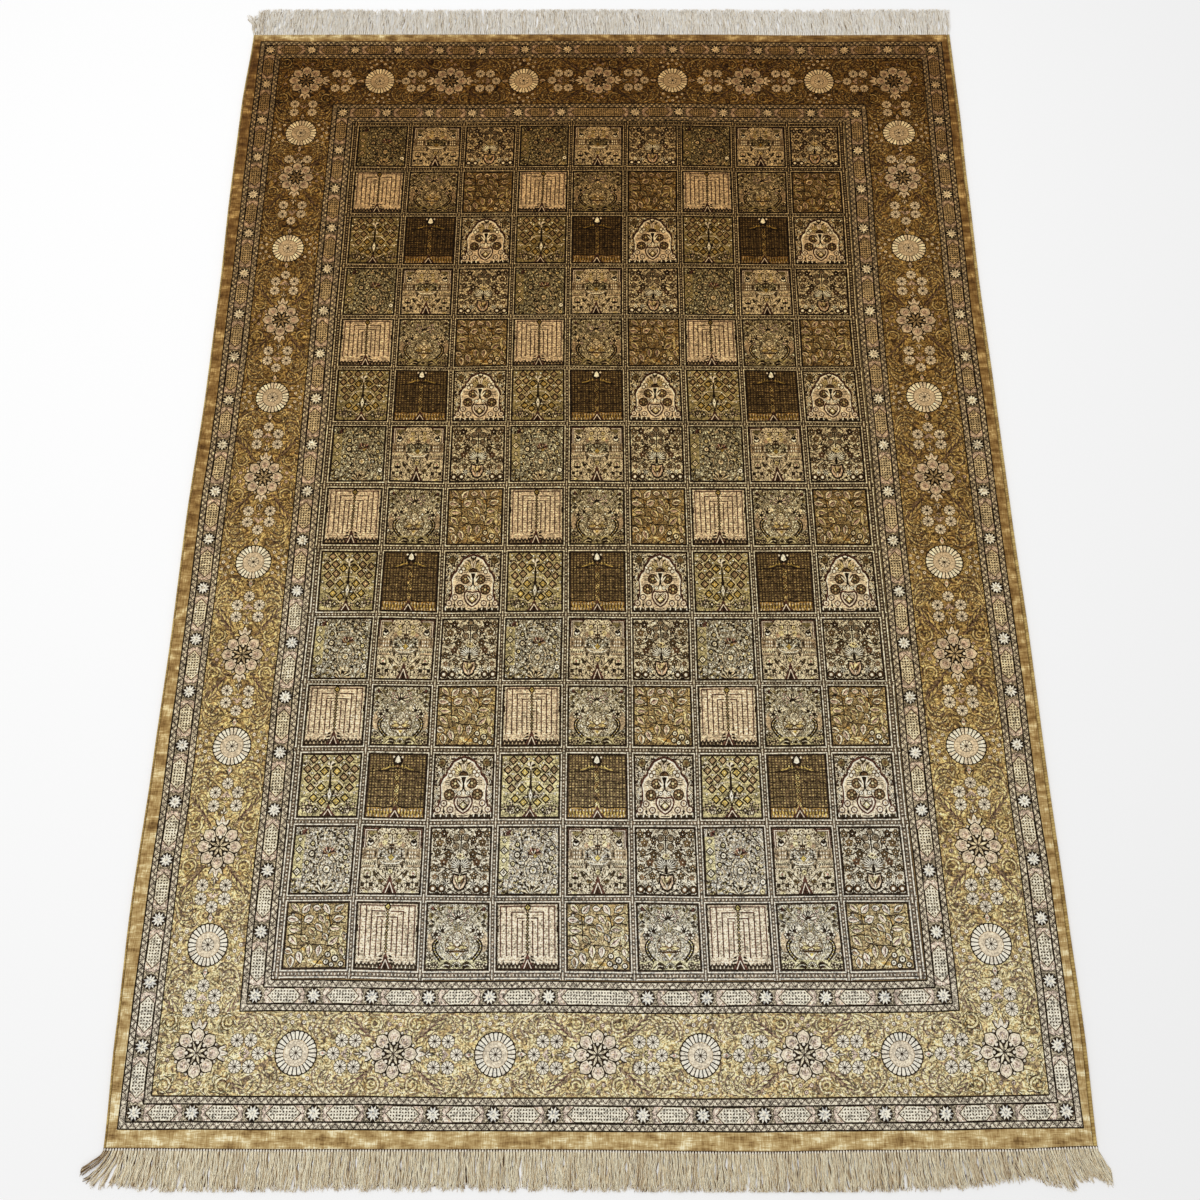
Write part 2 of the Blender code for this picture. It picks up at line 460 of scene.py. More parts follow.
    def cut(self):
        """The drawing as triangles that don't overlap, each with the dye of the shape on top."""
        places, faces, inks = [], [], []
        for ink, points in self.shapes:
            area = signed_area(points)
            if abs(area) < SPECK:
                continue
            if area < 0:
                points = points[::-1]
            faces.append(list(range(len(places), len(places) + len(points))))
            places += [Vector(point) for point in points]
            inks.append(DYE_NAMES.index(ink))
        corners, _, parts, _, _, owners = delaunay_2d_cdt(places, [], faces, 1, CLOSE, True)
        kept = [(part, inks[max(owner)]) for part, owner in zip(parts, owners) if 0 in owner]
        parts, dyes = [part for part, _ in kept], [dye for _, dye in kept]
        return self.coloured(corners, parts, dyes, lines_between(parts, dyes))

    def coloured(self, corners, parts, dyes, lines):
        """The same drawing cut again along the lines between its dyes only, with fewer points on them."""
        used, edges = {}, []
        for line in lines:
            slim = thinned(corners, line)
            for a, b in zip(slim, slim[1:]):
                edges.append((used.setdefault(a, len(used)), used.setdefault(b, len(used))))
        fewer, _, triangles, *_ = delaunay_2d_cdt([corners[k] for k in used], edges, [], 0, CLOSE, True)
        under = BVHTree.FromPolygons([(x, y, 0.0) for x, y in corners], parts)
        fewer = np.array([tuple(corner) for corner in fewer])
        triangles = np.array(triangles, np.int32)
        middles = fewer[triangles].mean(1)
        inks = [under.ray_cast((x, y, 1.0), (0.0, 0.0, -1.0))[2] for x, y in middles]
        triangles = triangles[[ink is not None for ink in inks]]
        inks = np.array([dyes[ink] for ink in inks if ink is not None], np.int32)
        kinds = np.full(len(fewer), KIND_STEP * self.kind)
        motif = np.stack([(fewer[:, 0] - self.axis) * self.fit, fewer[:, 1], kinds], 1)
        return fewer, triangles, inks, motif


def lines_between(triangles, dyes):
    """The lines where dyes meet or the drawing ends, each as its corners from one junction to the next."""
    sides = {}
    for triangle, dye in zip(triangles, dyes):
        for a, b in zip(triangle, (*triangle[1:], triangle[0])):
            sides.setdefault((min(a, b), max(a, b)), []).append(dye)
    near = {}
    for (a, b), both in sides.items():
        if len(both) == 1 or both[0] != both[1]:
            near.setdefault(a, []).append(b)
            near.setdefault(b, []).append(a)
    lines, done = [], set()
    junctions = [point for point, others in near.items() if len(others) != 2]
    for start in junctions + list(near):
        for step in near[start]:
            if (start, step) in done:
                continue
            line = [start]
            while (line[-1], step) not in done:
                done.update(((line[-1], step), (step, line[-1])))
                line.append(step)
                if len(near[step]) != 2 or step == start:
                    break
                step = next(other for other in near[step] if other != line[-2])
            lines.append(line)
    return lines


def thinned(corners, line, slack=0.14):
    """A line with the corners left out that it passes within a slack of, in millimetres."""
    if len(line) < 3:
        return line
    first, last = corners[line[0]], corners[line[-1]]
    run = last - first
    size = run.length
    if size < 1e-6:
        away = [(corners[k] - first).length for k in line]
    else:
        away = [abs((corners[k].x - first.x) * run.y - (corners[k].y - first.y) * run.x) / size
                for k in line]
    worst = max(range(1, len(line) - 1), key=away.__getitem__)
    if away[worst] < slack and size > 1e-6:
        return [line[0], line[-1]]
    return thinned(corners, line[:worst + 1], slack)[:-1] + thinned(corners, line[worst:], slack)


def signed_area(points):
    """Twice the area inside an outline, negative if it runs the other way."""
    return sum(xa * yb - xb * ya for (xa, ya), (xb, yb) in zip(points, points[1:] + points[:1]))


def turned(points, x, y, angle):
    """Points turned by an angle in degrees and moved to x, y."""
    c, s = math.cos(math.radians(angle)), math.sin(math.radians(angle))
    return [(x + px * c - py * s, y + px * s + py * c) for px, py in points]


def spot(x, y, angle, reach, aside=0):
    """The place a reach away from x, y at an angle in degrees, and a little aside from there."""
    return turned([(reach, aside)], x, y, angle)[0]


def smoothed(points, steps):
    """More points along a smooth curve through the given ones."""
    if len(points) < 3 or steps < 2:
        return list(points)
    path = []
    for i in range(len(points) - 1):
        a, b = points[max(i - 1, 0)], points[i]
        c, d = points[i + 1], points[min(i + 2, len(points) - 1)]
        for k in range(steps):
            t = k / steps
            path.append(tuple(0.5 * (2 * b[j] + (c[j] - a[j]) * t
                                     + (2 * a[j] - 5 * b[j] + 4 * c[j] - d[j]) * t * t
                                     + (3 * b[j] - a[j] - 3 * c[j] + d[j]) * t ** 3) for j in (0, 1)))
    return path + [points[-1]]


class Piece:
    """Patterns put together on the plan, which become one object."""

    def __init__(self, name):
        self.name = name
        self.places, self.triangles, self.dyes, self.motifs, self.count = [], [], [], [], 0

    def stamp(self, pattern, where):
        """Adds a cut drawing; where turns the drawing's places into plan places."""
        places, triangles, dyes, motif = pattern
        self.places.append(np.stack(where(places[:, 0], places[:, 1]), 1))
        self.triangles.append(triangles + self.count)
        self.dyes.append(dyes)
        self.motifs.append(motif)
        self.count += len(places)

    def build(self, material):
        """Makes the object, with its dyes, its painted sheen and a flat map of the plan."""
        plan = np.concatenate(self.places)
        triangles = np.concatenate(self.triangles)
        x, y = frame_place(*handmade(plan[:, 0], plan[:, 1]))
        a, b, c = (np.stack([x, y], 1)[triangles[:, k]] for k in range(3))
        crossed = (b[:, 0] - a[:, 0]) * (c[:, 1] - a[:, 1]) - (b[:, 1] - a[:, 1]) * (c[:, 0] - a[:, 0])
        triangles[crossed < 0] = triangles[crossed < 0][:, ::-1]
        mesh = mesh_of(self.name, np.stack([x, y, np.full_like(x, PILE_THICK)], 1), triangles)
        dyes = np.concatenate(self.dyes)
        add_values(mesh, "dye", "FLOAT_COLOR", "FACE", DYE_COLOURS[dyes])
        add_values(mesh, "inlay", "FLOAT", "FACE", DYE_INLAYS[dyes])
        add_values(mesh, "motif", "FLOAT_VECTOR", "POINT", np.concatenate(self.motifs))
        add_values(mesh, "painted_sheen", "FLOAT", "POINT", painted_sheen(plan[:, 0], plan[:, 1]))
        add_flat_map(mesh, plan)
        mesh.materials.append(material)
        return add_object(self.name, mesh)


def mesh_of(name, corners, triangles):
    """A mesh of triangles, quickly."""
    mesh = bpy.data.meshes.new(name)
    mesh.vertices.add(len(corners))
    mesh.vertices.foreach_set("co", np.asarray(corners, np.float32).ravel())
    mesh.loops.add(triangles.size)
    mesh.loops.foreach_set("vertex_index", np.asarray(triangles, np.int32).ravel())
    mesh.polygons.add(len(triangles))
    mesh.polygons.foreach_set("loop_start", np.arange(0, triangles.size, 3, dtype=np.int32))
    mesh.update(calc_edges=True)
    return mesh


def add_values(mesh, name, kind, domain, values):
    """Stores a number, colour or vector for each face or point of a mesh."""
    part = {"FLOAT": "value", "FLOAT_COLOR": "color", "FLOAT_VECTOR": "vector"}[kind]
    mesh.attributes.new(name, kind, domain).data.foreach_set(part, np.asarray(values, np.float32).ravel())


def add_flat_map(mesh, flat):
    """Maps each corner of a mesh by a flat place for each of its points."""
    low, high = flat.min(0), flat.max(0)
    scaled = (flat - low) / (high - low) * 0.98 + 0.01
    corners = np.zeros(len(mesh.loops), np.int32)
    mesh.loops.foreach_get("vertex_index", corners)
    mesh.uv_layers.new(name="OFBake").data.foreach_set("uv", scaled[corners].ravel())


def add_object(name, mesh):
    """Links a mesh into the scene on the rug's body."""
    item = bpy.data.objects.new(name, mesh)
    bpy.context.scene.collection.objects.link(item)
    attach(item, "root")
    return item


def handmade(across, along):
    """Small unevenness of the hand-woven lines, none of it at the rug's own edges."""
    away = np.minimum.reduce([across - 4, PLAN_WIDTH - 7 - across, along, PLAN_LENGTH - along])
    inside = np.clip(away / 12, 0, 1)
    sway = 0.45 * np.sin(across / 37 + 1.7 * np.sin(along / 61)) + 0.25 * np.sin(across / 17 + along / 21)
    lift = 0.45 * np.sin(along / 41 + 1.9 * np.sin(across / 53)) + 0.25 * np.sin(along / 19 - across / 23)
    return across + sway * inside, along + lift * inside


# Places where the painted sheen is stronger or weaker, in millimetres of the plan
# columns: across, along, half width, half length, change
SHEEN_PATCHES = (
    (196, 1250, 40, 110, 0.22),
    (20, 1230, 60, 200, 0.12),
    (1285, 1250, 70, 330, -0.16),
    (1285, 780, 60, 160, -0.06),
    (1285, 400, 70, 160, 0.1),
    (640, 1560, 160, 90, 0.05),
    # painted highlights along the far band
    (700, 0, 2500, 14, 0.6),
    (130, 0, 330, 15, 0.75),
    (700, 1740, 520, 170, 0.11),
    (700, 110, 1200, 70, -0.1),
    (160, 2000, 220, 26, 0.14),
    (1000, 2000, 330, 26, -0.1),
    (1135, 1560, 40, 130, 0.12),
    (330, 1400, 60, 46, 0.1),
    (700, 1520, 50, 40, 0.05),
    (906, 1710, 60, 70, 0.06),
)
SHEEN_START, SHEEN_RUN = 300.0, 1370.0    # where along the plan the painted sheen starts to grow, and for how long
SHEEN_LEAST, SHEEN_MOST = -0.25, 1.15


def painted_sheen(across, along):
    """How strong the painted sheen is, from 0 at the far end to 1 at the near one."""
    pale = (along - SHEEN_START) / SHEEN_RUN
    for x, y, wide, long, change in SHEEN_PATCHES:
        pale = pale + change * np.exp(-((across - x) / wide) ** 2 - ((along - y) / long) ** 2)
    pale = pale + 0.02 * np.sin(along / 47 + np.sin(across / 90)) + 0.02 * np.sin(along / 19 + across / 140)
    return np.clip(pale, SHEEN_LEAST, SHEEN_MOST)


# Guard bands: a stripe, a band of cartouches and a stripe, with a dark line on each side of a stripe
GUARD_UNIT = 86.0
CARTOUCHE_TOP, CARTOUCHE_LOW = 10.9, 32.4
CARTOUCHE_MIDDLE = (CARTOUCHE_TOP + CARTOUCHE_LOW) / 2
CARTOUCHE_FROM = 13.0     # from a rosette's middle to a cartouche's tip
STRIPES = ((0.8, 9.6), (33.8, 43.2))
GUARD_LINES = ((0.6, 2.6), (10.2, 2.1), (33.1, 2.1), (GUARD_DEEP - 0.6, 2.6))    # place, thickness


def guard_stripes(drawing, length, start=0.0):
    """Two stripes of zigzag, between dark lines."""
    for top, low in STRIPES:
        drawing.box("zigzag", start, top, length, low)
    for y, thick in GUARD_LINES:
        drawing.box("black", start, y - thick / 2, length, y + thick / 2)


def cartouche(drawing, x0, x1):
    """A long six-sided field of dots with pointed ends, between rosy wings."""
    middle, half = CARTOUCHE_MIDDLE, (CARTOUCHE_LOW - CARTOUCHE_TOP) / 2
    for grown, ink in ((0.9, "outline"), (0.0, "guard_rose")):
        drawing.shape(ink, [(x0 + 4 - grown, middle - half), (x0 - grown, middle - 3),
                            (x0 + 2.2 - grown, middle), (x0 - grown, middle + 3),
                            (x0 + 4 - grown, middle + half), (x1 - 4 + grown, middle + half),
                            (x1 + grown, middle + 3), (x1 - 2.2 + grown, middle), (x1 + grown, middle - 3),
                            (x1 - 4 + grown, middle - half)])
    for x, way in ((x0, 1), (x1, -1)):
        for swing in (-1, 1):
            drawing.leaves((("guard_light", x + way * 3.0, middle + swing * 3.4,
                             90 - way * 90 + way * swing * 42, 9.0, 3.0),
                            ("tan", x + way * 8.4, middle + swing * 6.0, 90 - way * 90 + way * swing * 46,
                             5.0, 1.6)))
    for inset, ink in ((0.0, "outline"), (1.1, "grey_light"), (2.0, "dots")):
        tip, shoulder = 4.6 + inset * 1.6, 15.4 + inset * 0.7
        side = half - inset * (0.9 if inset < 2 else 0.8)
        drawing.shape(ink, ((x0 + tip, middle), (x0 + shoulder, middle - side),
                            (x1 - shoulder, middle - side), (x1 - tip, middle),
                            (x1 - shoulder, middle + side), (x0 + shoulder, middle + side)))


def guard_unit(length=GUARD_UNIT, start=0.0):
    """A guard band from the middle of one rosette to the middle of the next."""
    drawing = Drawing("speckle", length, GUARD_DEEP, start, kind=10, repeat=GUARD_UNIT / 8)
    cartouche(drawing, CARTOUCHE_FROM, length - CARTOUCHE_FROM)
    for x in (0, length):
        star(drawing, x, CARTOUCHE_MIDDLE)
    guard_stripes(drawing, length, start)
    return drawing.cut()


def star(drawing, x, y):
    """A guard's round flower of narrow petals."""
    drawing.disc("outline", x, y, 10.8, 14)
    drawing.fan(("star",), x, y, range(0, 360, 36), 9.2, 3.3, 1.2)
    drawing.disc("petal", x, y, 1.6, 6)


def guard_corner():
    """The corner of a guard band: the stripes turn it, and a rosette sits in it."""
    drawing = Drawing("speckle", GUARD_DEEP, GUARD_DEEP, kind=10)
    middle = CARTOUCHE_MIDDLE
    since = len(drawing.shapes)
    cartouche(drawing, middle + CARTOUCHE_FROM, middle + GUARD_UNIT - CARTOUCHE_FROM)
    for ink, points in drawing.shapes[since:]:
        drawing.shape(ink, [(y, x) for x, y in points])
    star(drawing, middle, middle)
    for top, low in STRIPES:
        drawing.box("zigzag", top, top, GUARD_DEEP, low)
        drawing.box("zigzag", top, top, low, GUARD_DEEP)
    for at, thick in GUARD_LINES:
        drawing.box("black", at, at - thick / 2, GUARD_DEEP, at + thick / 2)
        drawing.box("black", at - thick / 2, at, at + thick / 2, GUARD_DEEP)
    return drawing.cut()


# Main border, from the middle of a flower medallion to the middle of a roundel, and half its depth
BORDER_HALF = 56.5
BORDER_CELL = 148.0
CORNER_ROSETTE = 58.2     # from a corner's medallion to the first rosettes


def medallion(drawing):
    """The eight-petalled medallion with a star of lances in its heart, at 0, 0."""
    petal = ((14.5, 2.6), (16.4, 5.8), (20.4, 7.8), (25.6, 8.6), (30.0, 6.6), (32.0, 3.2), (34.4, 0))
    petal = petal + tuple((x, -y) for x, y in petal[-2::-1])
    drawing.disc("outline", 0, 0, 30.0, 16)
    for k in range(8):
        grown = [((x - 24) * 1.15 + 24, y * 1.19) for x, y in petal]
        drawing.shape("outline", turned(grown, 0, 0, 45 * k))
        foot = spot(0, 0, 45 * k + 22.5, 30.6)
        drawing.discs(*foot, (("outline", 3.2, 6), ("guard_light", 2.1, 6)))
    for k in range(8):
        angle = 45 * k
        drawing.shape("disc", turned(petal, 0, 0, angle))
        drawing.disc("guard_rose", *spot(0, 0, angle, 23.2), 5.0, 10)
        drawing.leaf("tan", *spot(0, 0, angle, 19.4), angle, 6.0, 1.9)
        for swing in (-1, 1):
            drawing.leaf("brown", *spot(0, 0, angle, 17.6, swing * 4.0), angle + swing * 24, 8.0, 1.3)
    drawing.disc("outline", 0, 0, 17.0, 16)
    for k in range(8):
        drawing.leaf("grey_light", *spot(0, 0, 45 * k + 22.5, 1.6), 45 * k + 22.5, 15.0, 3.6)
        drawing.disc("petal", *spot(0, 0, 45 * k, 14.6), 2.4, 6)
    drawing.disc("guard_dark", 0, 0, 1.8, 6)


def roundel(drawing, x):
    """The plain disc inside a ring of wedge petals, with a rosette in its heart."""
    drawing.disc("outline", x, 0, 30.9, 26)
    count = 26
    for k in range(count):
        points = ((18.4, -1.45), (27.6, -2.5), (29.1, -1.9), (29.1, 1.9), (27.6, 2.5), (18.4, 1.45))
        drawing.shape("white" if k % 4 else "petal", turned(points, x, 0, 360 * (k + 0.5) / count))
    drawing.discs(x, 0, (("tan", 18.4, 20), ("disc", 17.6, 20)))
    drawing.rosette(x, 0, 9.6, 10, "guard_dark", "petal", "outline")


def sickle(drawing, x, y, angle, length, width, bend, ink="straw", edge="outline"):
    """A bent leaf with a darker edge."""
    drawing.leaf(edge, x, y, angle, length, width, bend)
    inner = spot(x, y, angle, length * 0.12)
    drawing.leaf(ink, *inner, angle, length * 0.74, width * 0.5, bend * 0.64)


def feathered(drawing, path, first, last, leaves, length, swing, side, ink, width):
    """Bent leaves along one side of a path, from one share of it to another."""
    for k in range(leaves):
        at = first + (last - first) * k / max(leaves - 1, 1)
        i = min(int(at * (len(path) - 1)), len(path) - 2)
        (xa, ya), (xb, yb) = path[i], path[i + 1]
        heading = math.degrees(math.atan2(yb - ya, xb - xa))
        drawing.leaf(ink, xa, ya, heading + side * swing, length * (1 - 0.3 * abs(2 * at - first - last)),
                     width, -side * 3.0)


# The acanthus of a border cell, from a medallion at 0 to a roundel at BORDER_CELL
BORDER_BRANCH = ((29, 17.5), (36, 23.5), (44, 31), (54, 39), (64, 47), (76, 54))
BORDER_WAVES = (
    ((70, 54.5), (80, 51), (87, 44), (89, 36), (85, 29.5), (80, 31)),
    ((82, 55), (92, 52), (99, 45), (101, 36), (97, 28.5), (92, 30)),
    ((95, 55), (105, 51), (111, 45), (113, 36), (110, 27.5), (105, 26)),
    ((102, 53), (113, 48.5), (120, 40), (123, 31), (121, 22), (115, 18.5)),
)


def border_scrolls(drawing, length):
    """The acanthus scrolls of a border cell, on the side towards one edge."""
    scale = length / BORDER_CELL

    def at(points):
        return [(x * scale, y) for x, y in points]

    branch = smoothed(at(BORDER_BRANCH), 3)
    for x, y, angle, size, wide in ((41, 25, 22, 26, 8.5), (50, 34, 18, 24, 8.0), (58, 42, 14, 22, 7.0),
                                    (66, 33, 50, 15, 6.0), (98, 22, 30, 18, 6.0), (90, 44, -8, 12, 5.0)):
        sickle(drawing, x * scale, y, angle, size * min(scale, 1), wide, 3.0, "gold_light", "plum")
    for k, wave in enumerate(BORDER_WAVES):
        path = smoothed(at(wave), 3)
        inside = [(x - 3.0, y - 1.0) for x, y in path]
        drawing.stroke("straw", inside, 1.0, 2.8, 1)
        feathered(drawing, path, 0.42, 0.9, 4, 8.0, 118, -1, "plum", 1.9)
        drawing.stroke("plum", path, 1.0, 1.9, 1)
    ball = (31 * scale, 41.5)
    drawing.disc("umber", *ball, 13.0, 14)
    for reach, start, ink, thick in ((12.8, 20, "plum", 1.5), (10.2, 60, "straw", 2.2),
                                     (7.8, 100, "plum", 1.3), (5.0, 160, "gold_light", 2.4),
                                     (2.6, 210, "plum", 1.2)):
        arc = [spot(*ball, start + 50 * k, reach) for k in range(6)]
        drawing.stroke(ink, arc, thick * 0.6, thick, 2)
    for x, y, angle, size in ((18, 53, 200, 11), (44, 50, 30, 11), (120, 49, 5, 12), (128, 46, -30, 9),
                              (112, 22, 160, 9), (64, 52.5, 200, 9), (96, 40, 200, 7), (134, 50, -170, 9),
                              (52, 27, -60, 9), (90, 33, 100, 7), (104, 33, 100, 7), (78, 40, 100, 8)):
        sickle(drawing, x * scale, y, angle, size, 3.2, 1.8, "straw", "plum")
    feathered(drawing, branch, 0.12, 0.9, 6, 10.0, 46, 1, "plum", 2.4)
    feathered(drawing, branch, 0.06, 0.8, 6, 9.0, 46, -1, "bark", 2.4)
    drawing.strokes((("plum", branch, 2.6, 1.8, 1), ("tan", branch, 0.9, 0.5, 1)))
    for x, y, size in ((0, 50, 3.6), (8.0, 40.5, 3.6), (17.5, 30.5, 2.8)):
        drawing.ringed(x, y, size, "plum", "guard_rose", "brown", 8)
    for x, y, size in ((0, 50, 3.8), (8.5, 41.5, 3.6), (18.5, 33.6, 3.6), (12.0, 52.0, 2.8),
                       (22.5, 44.5, 2.6)):
        drawing.ringed(length - x, y, size, "plum", "petal", "brown", 8)


def finial(drawing):
    """The three-lobed crown beyond a medallion's petal, towards x."""
    for grown, ink in ((1.2, "outline"), (0.0, "petal")):
        for swing in (-1, 1):
            drawing.leaf(ink, 32 - grown, swing * 1.5, swing * 44, 12.5 + grown * 2, 6.0 + grown * 2)
        drawing.leaf(ink, 34 - grown, 0, 0, 13 + grown * 2, 6.5 + grown * 2)
    drawing.leaf("guard_rose", 36, 0, 0, 7, 2.6)
    for swing in (-1, 1):
        drawing.leaf("tan", 36, swing * 3.2, swing * 44, 6, 1.6)


def border_cluster(drawing, length, start, pairs, single):
    """The lances, palmette and rosettes of the border: single ones on its middle line, pairs beside it."""
    scale = length / BORDER_CELL
    first = CORNER_ROSETTE if start else length * 0.402
    finial(drawing)
    drawing.diamond("guard_rose", 72 * scale, 0, 9.0 * scale, 9.0)
    for swing in (-46, 0, 46):
        sickle(drawing, 47 * scale, 0, swing, 15 if swing == 0 else 9, 5.0, 0, "guard_light", "guard_dark")
        sickle(drawing, 66 * scale, 0, swing, 10, 4.4, 0, "gold_light", "guard_dark")
    if single:
        drawing.rosette(length * 0.622, 0, 9.4, 10)
    for k in range(pairs):
        drawing.rosette(first + 20.0 * k, 18.0, 9.8, 10)
    palmette = length - 39
    for swing in (-58, 58):
        drawing.leaf("slate", palmette - 3, 0, swing, 9, 3.6)
    drawing.leaves((("outline", palmette + 8, 0, 180, 16, 8.4),
                    ("guard_light", palmette + 7.4, 0, 180, 13.5, 6.4)))
    drawing.disc("rose", palmette + 1, 0, 1.9, 6)


def border_half(length, start, pairs, single):
    """Half the border's depth, from its middle line outwards, between a medallion and a roundel."""
    drawing = Drawing("gold", length, BORDER_HALF, start, kind=12)
    border_scrolls(drawing, length)
    border_cluster(drawing, length, start, pairs, single)
    medallion(drawing)
    roundel(drawing, length)
    return drawing.cut()


def border_corner(beside, below):
    """A quarter of the border's corner, from the medallion outwards, with the border beside or below it."""
    drawing = Drawing("gold", BORDER_HALF, BORDER_HALF, kind=13)
    drawing.disc("umber", 43.0, 43.0, 12.6, 14)
    for reach, start, ink, thick in ((12.4, 20, "outline", 1.3), (9.6, 60, "straw", 2.2),
                                     (7.0, 100, "guard_dark", 1.3), (3.6, 160, "gold_light", 2.4)):
        arc = [spot(43.0, 43.0, start + 50 * k, reach) for k in range(6)]
        drawing.stroke(ink, arc, thick * 0.6, thick, 2)
    for x, y, angle in ((50, 12, 60), (46, 4, 20), (12, 50, 30), (4, 46, 70), (52, 26, 100), (26, 52, -10),
                        (29, 29, 8), (29, 29, 82), (54, 38, 110), (38, 54, -20)):
        sickle(drawing, x, y, angle, 12, 3.8, 2, "straw", "guard_dark")
    for x, y in ((40.5, 9.3), (9.3, 40.5)):
        drawing.ringed(x, y, 3.5, "guard_dark", "guard_rose", "brown", 8)
    if beside:
        drawing.rosette(CORNER_ROSETTE, 18.0, 9.8, 10)
        finial(drawing)
    if below:
        drawing.rosette(18.0, CORNER_ROSETTE, 9.8, 10)
        since = len(drawing.shapes)
        finial(drawing)
        drawing.shapes[since:] = [(ink, [(y, x) for x, y in points])
                                  for ink, points in drawing.shapes[since:]]
    medallion(drawing)
    return drawing.cut()


# Garden panels. Each is drawn on the same size of cloth, and its middle is at PANEL_AXIS
PANEL_HIGH = 99.0
PANEL_AXIS = 47.3
FRAME = 2.4               # the dark line round each panel
ROOT_LOW = 97.0           # where the trees' roots end


def panel(ground, kind):
    """A panel's cloth."""
    return Drawing(ground, PANEL_WIDE, PANEL_HIGH, axis=PANEL_AXIS, kind=kind)


def framed(drawing):
    """Closes a panel with its dark line, and cuts it."""
    right, low = PANEL_WIDE, PANEL_HIGH
    drawing.box("outline", 0, 0, right, FRAME)
    drawing.box("outline", 0, low - FRAME, right, low)
    drawing.box("outline", 0, 0, FRAME, low)
    drawing.box("outline", right - FRAME, 0, right, low)
    return drawing.cut()


def root(drawing, top, half_wide):
    """The forked root that several trees stand on, with pale strokes inside."""
    x, low = PANEL_AXIS, ROOT_LOW
    high = low - top
    drawing.shape("bark", ((x, top), (x + 2.6, top + high * 0.22), (x + 4.2, top + high * 0.5),
                           (x + half_wide, low), (x - half_wide, low), (x - 4.2, top + high * 0.5),
                           (x - 2.6, top + high * 0.22)))
    for way in (-1, 1):
        drawing.strokes((("petal", [(x, top + high * 0.42), (x + way * half_wide * 0.52, low)], 1.3),
                         ("outline", [(x, top + high * 0.62), (x + way * half_wide * 0.3, low)], 1.1)))
    drawing.shape("outline", ((x, top + high * 0.7), (x + 1.9, low), (x - 1.9, low)))


def leaf_ring(drawing, x, y, across, along, count, inks, length, width, swing):
    """Leaves round an oval, leaning in and out in turn."""
    for k in range(count):
        angle = FULL_TURN * k / count
        heading = math.degrees(math.atan2(along * math.cos(angle), -across * math.sin(angle)))
        drawing.leaf(inks[k % len(inks)], x + across * math.cos(angle), y + along * math.sin(angle),
                     heading + (swing if k % 2 else -swing), length, width)


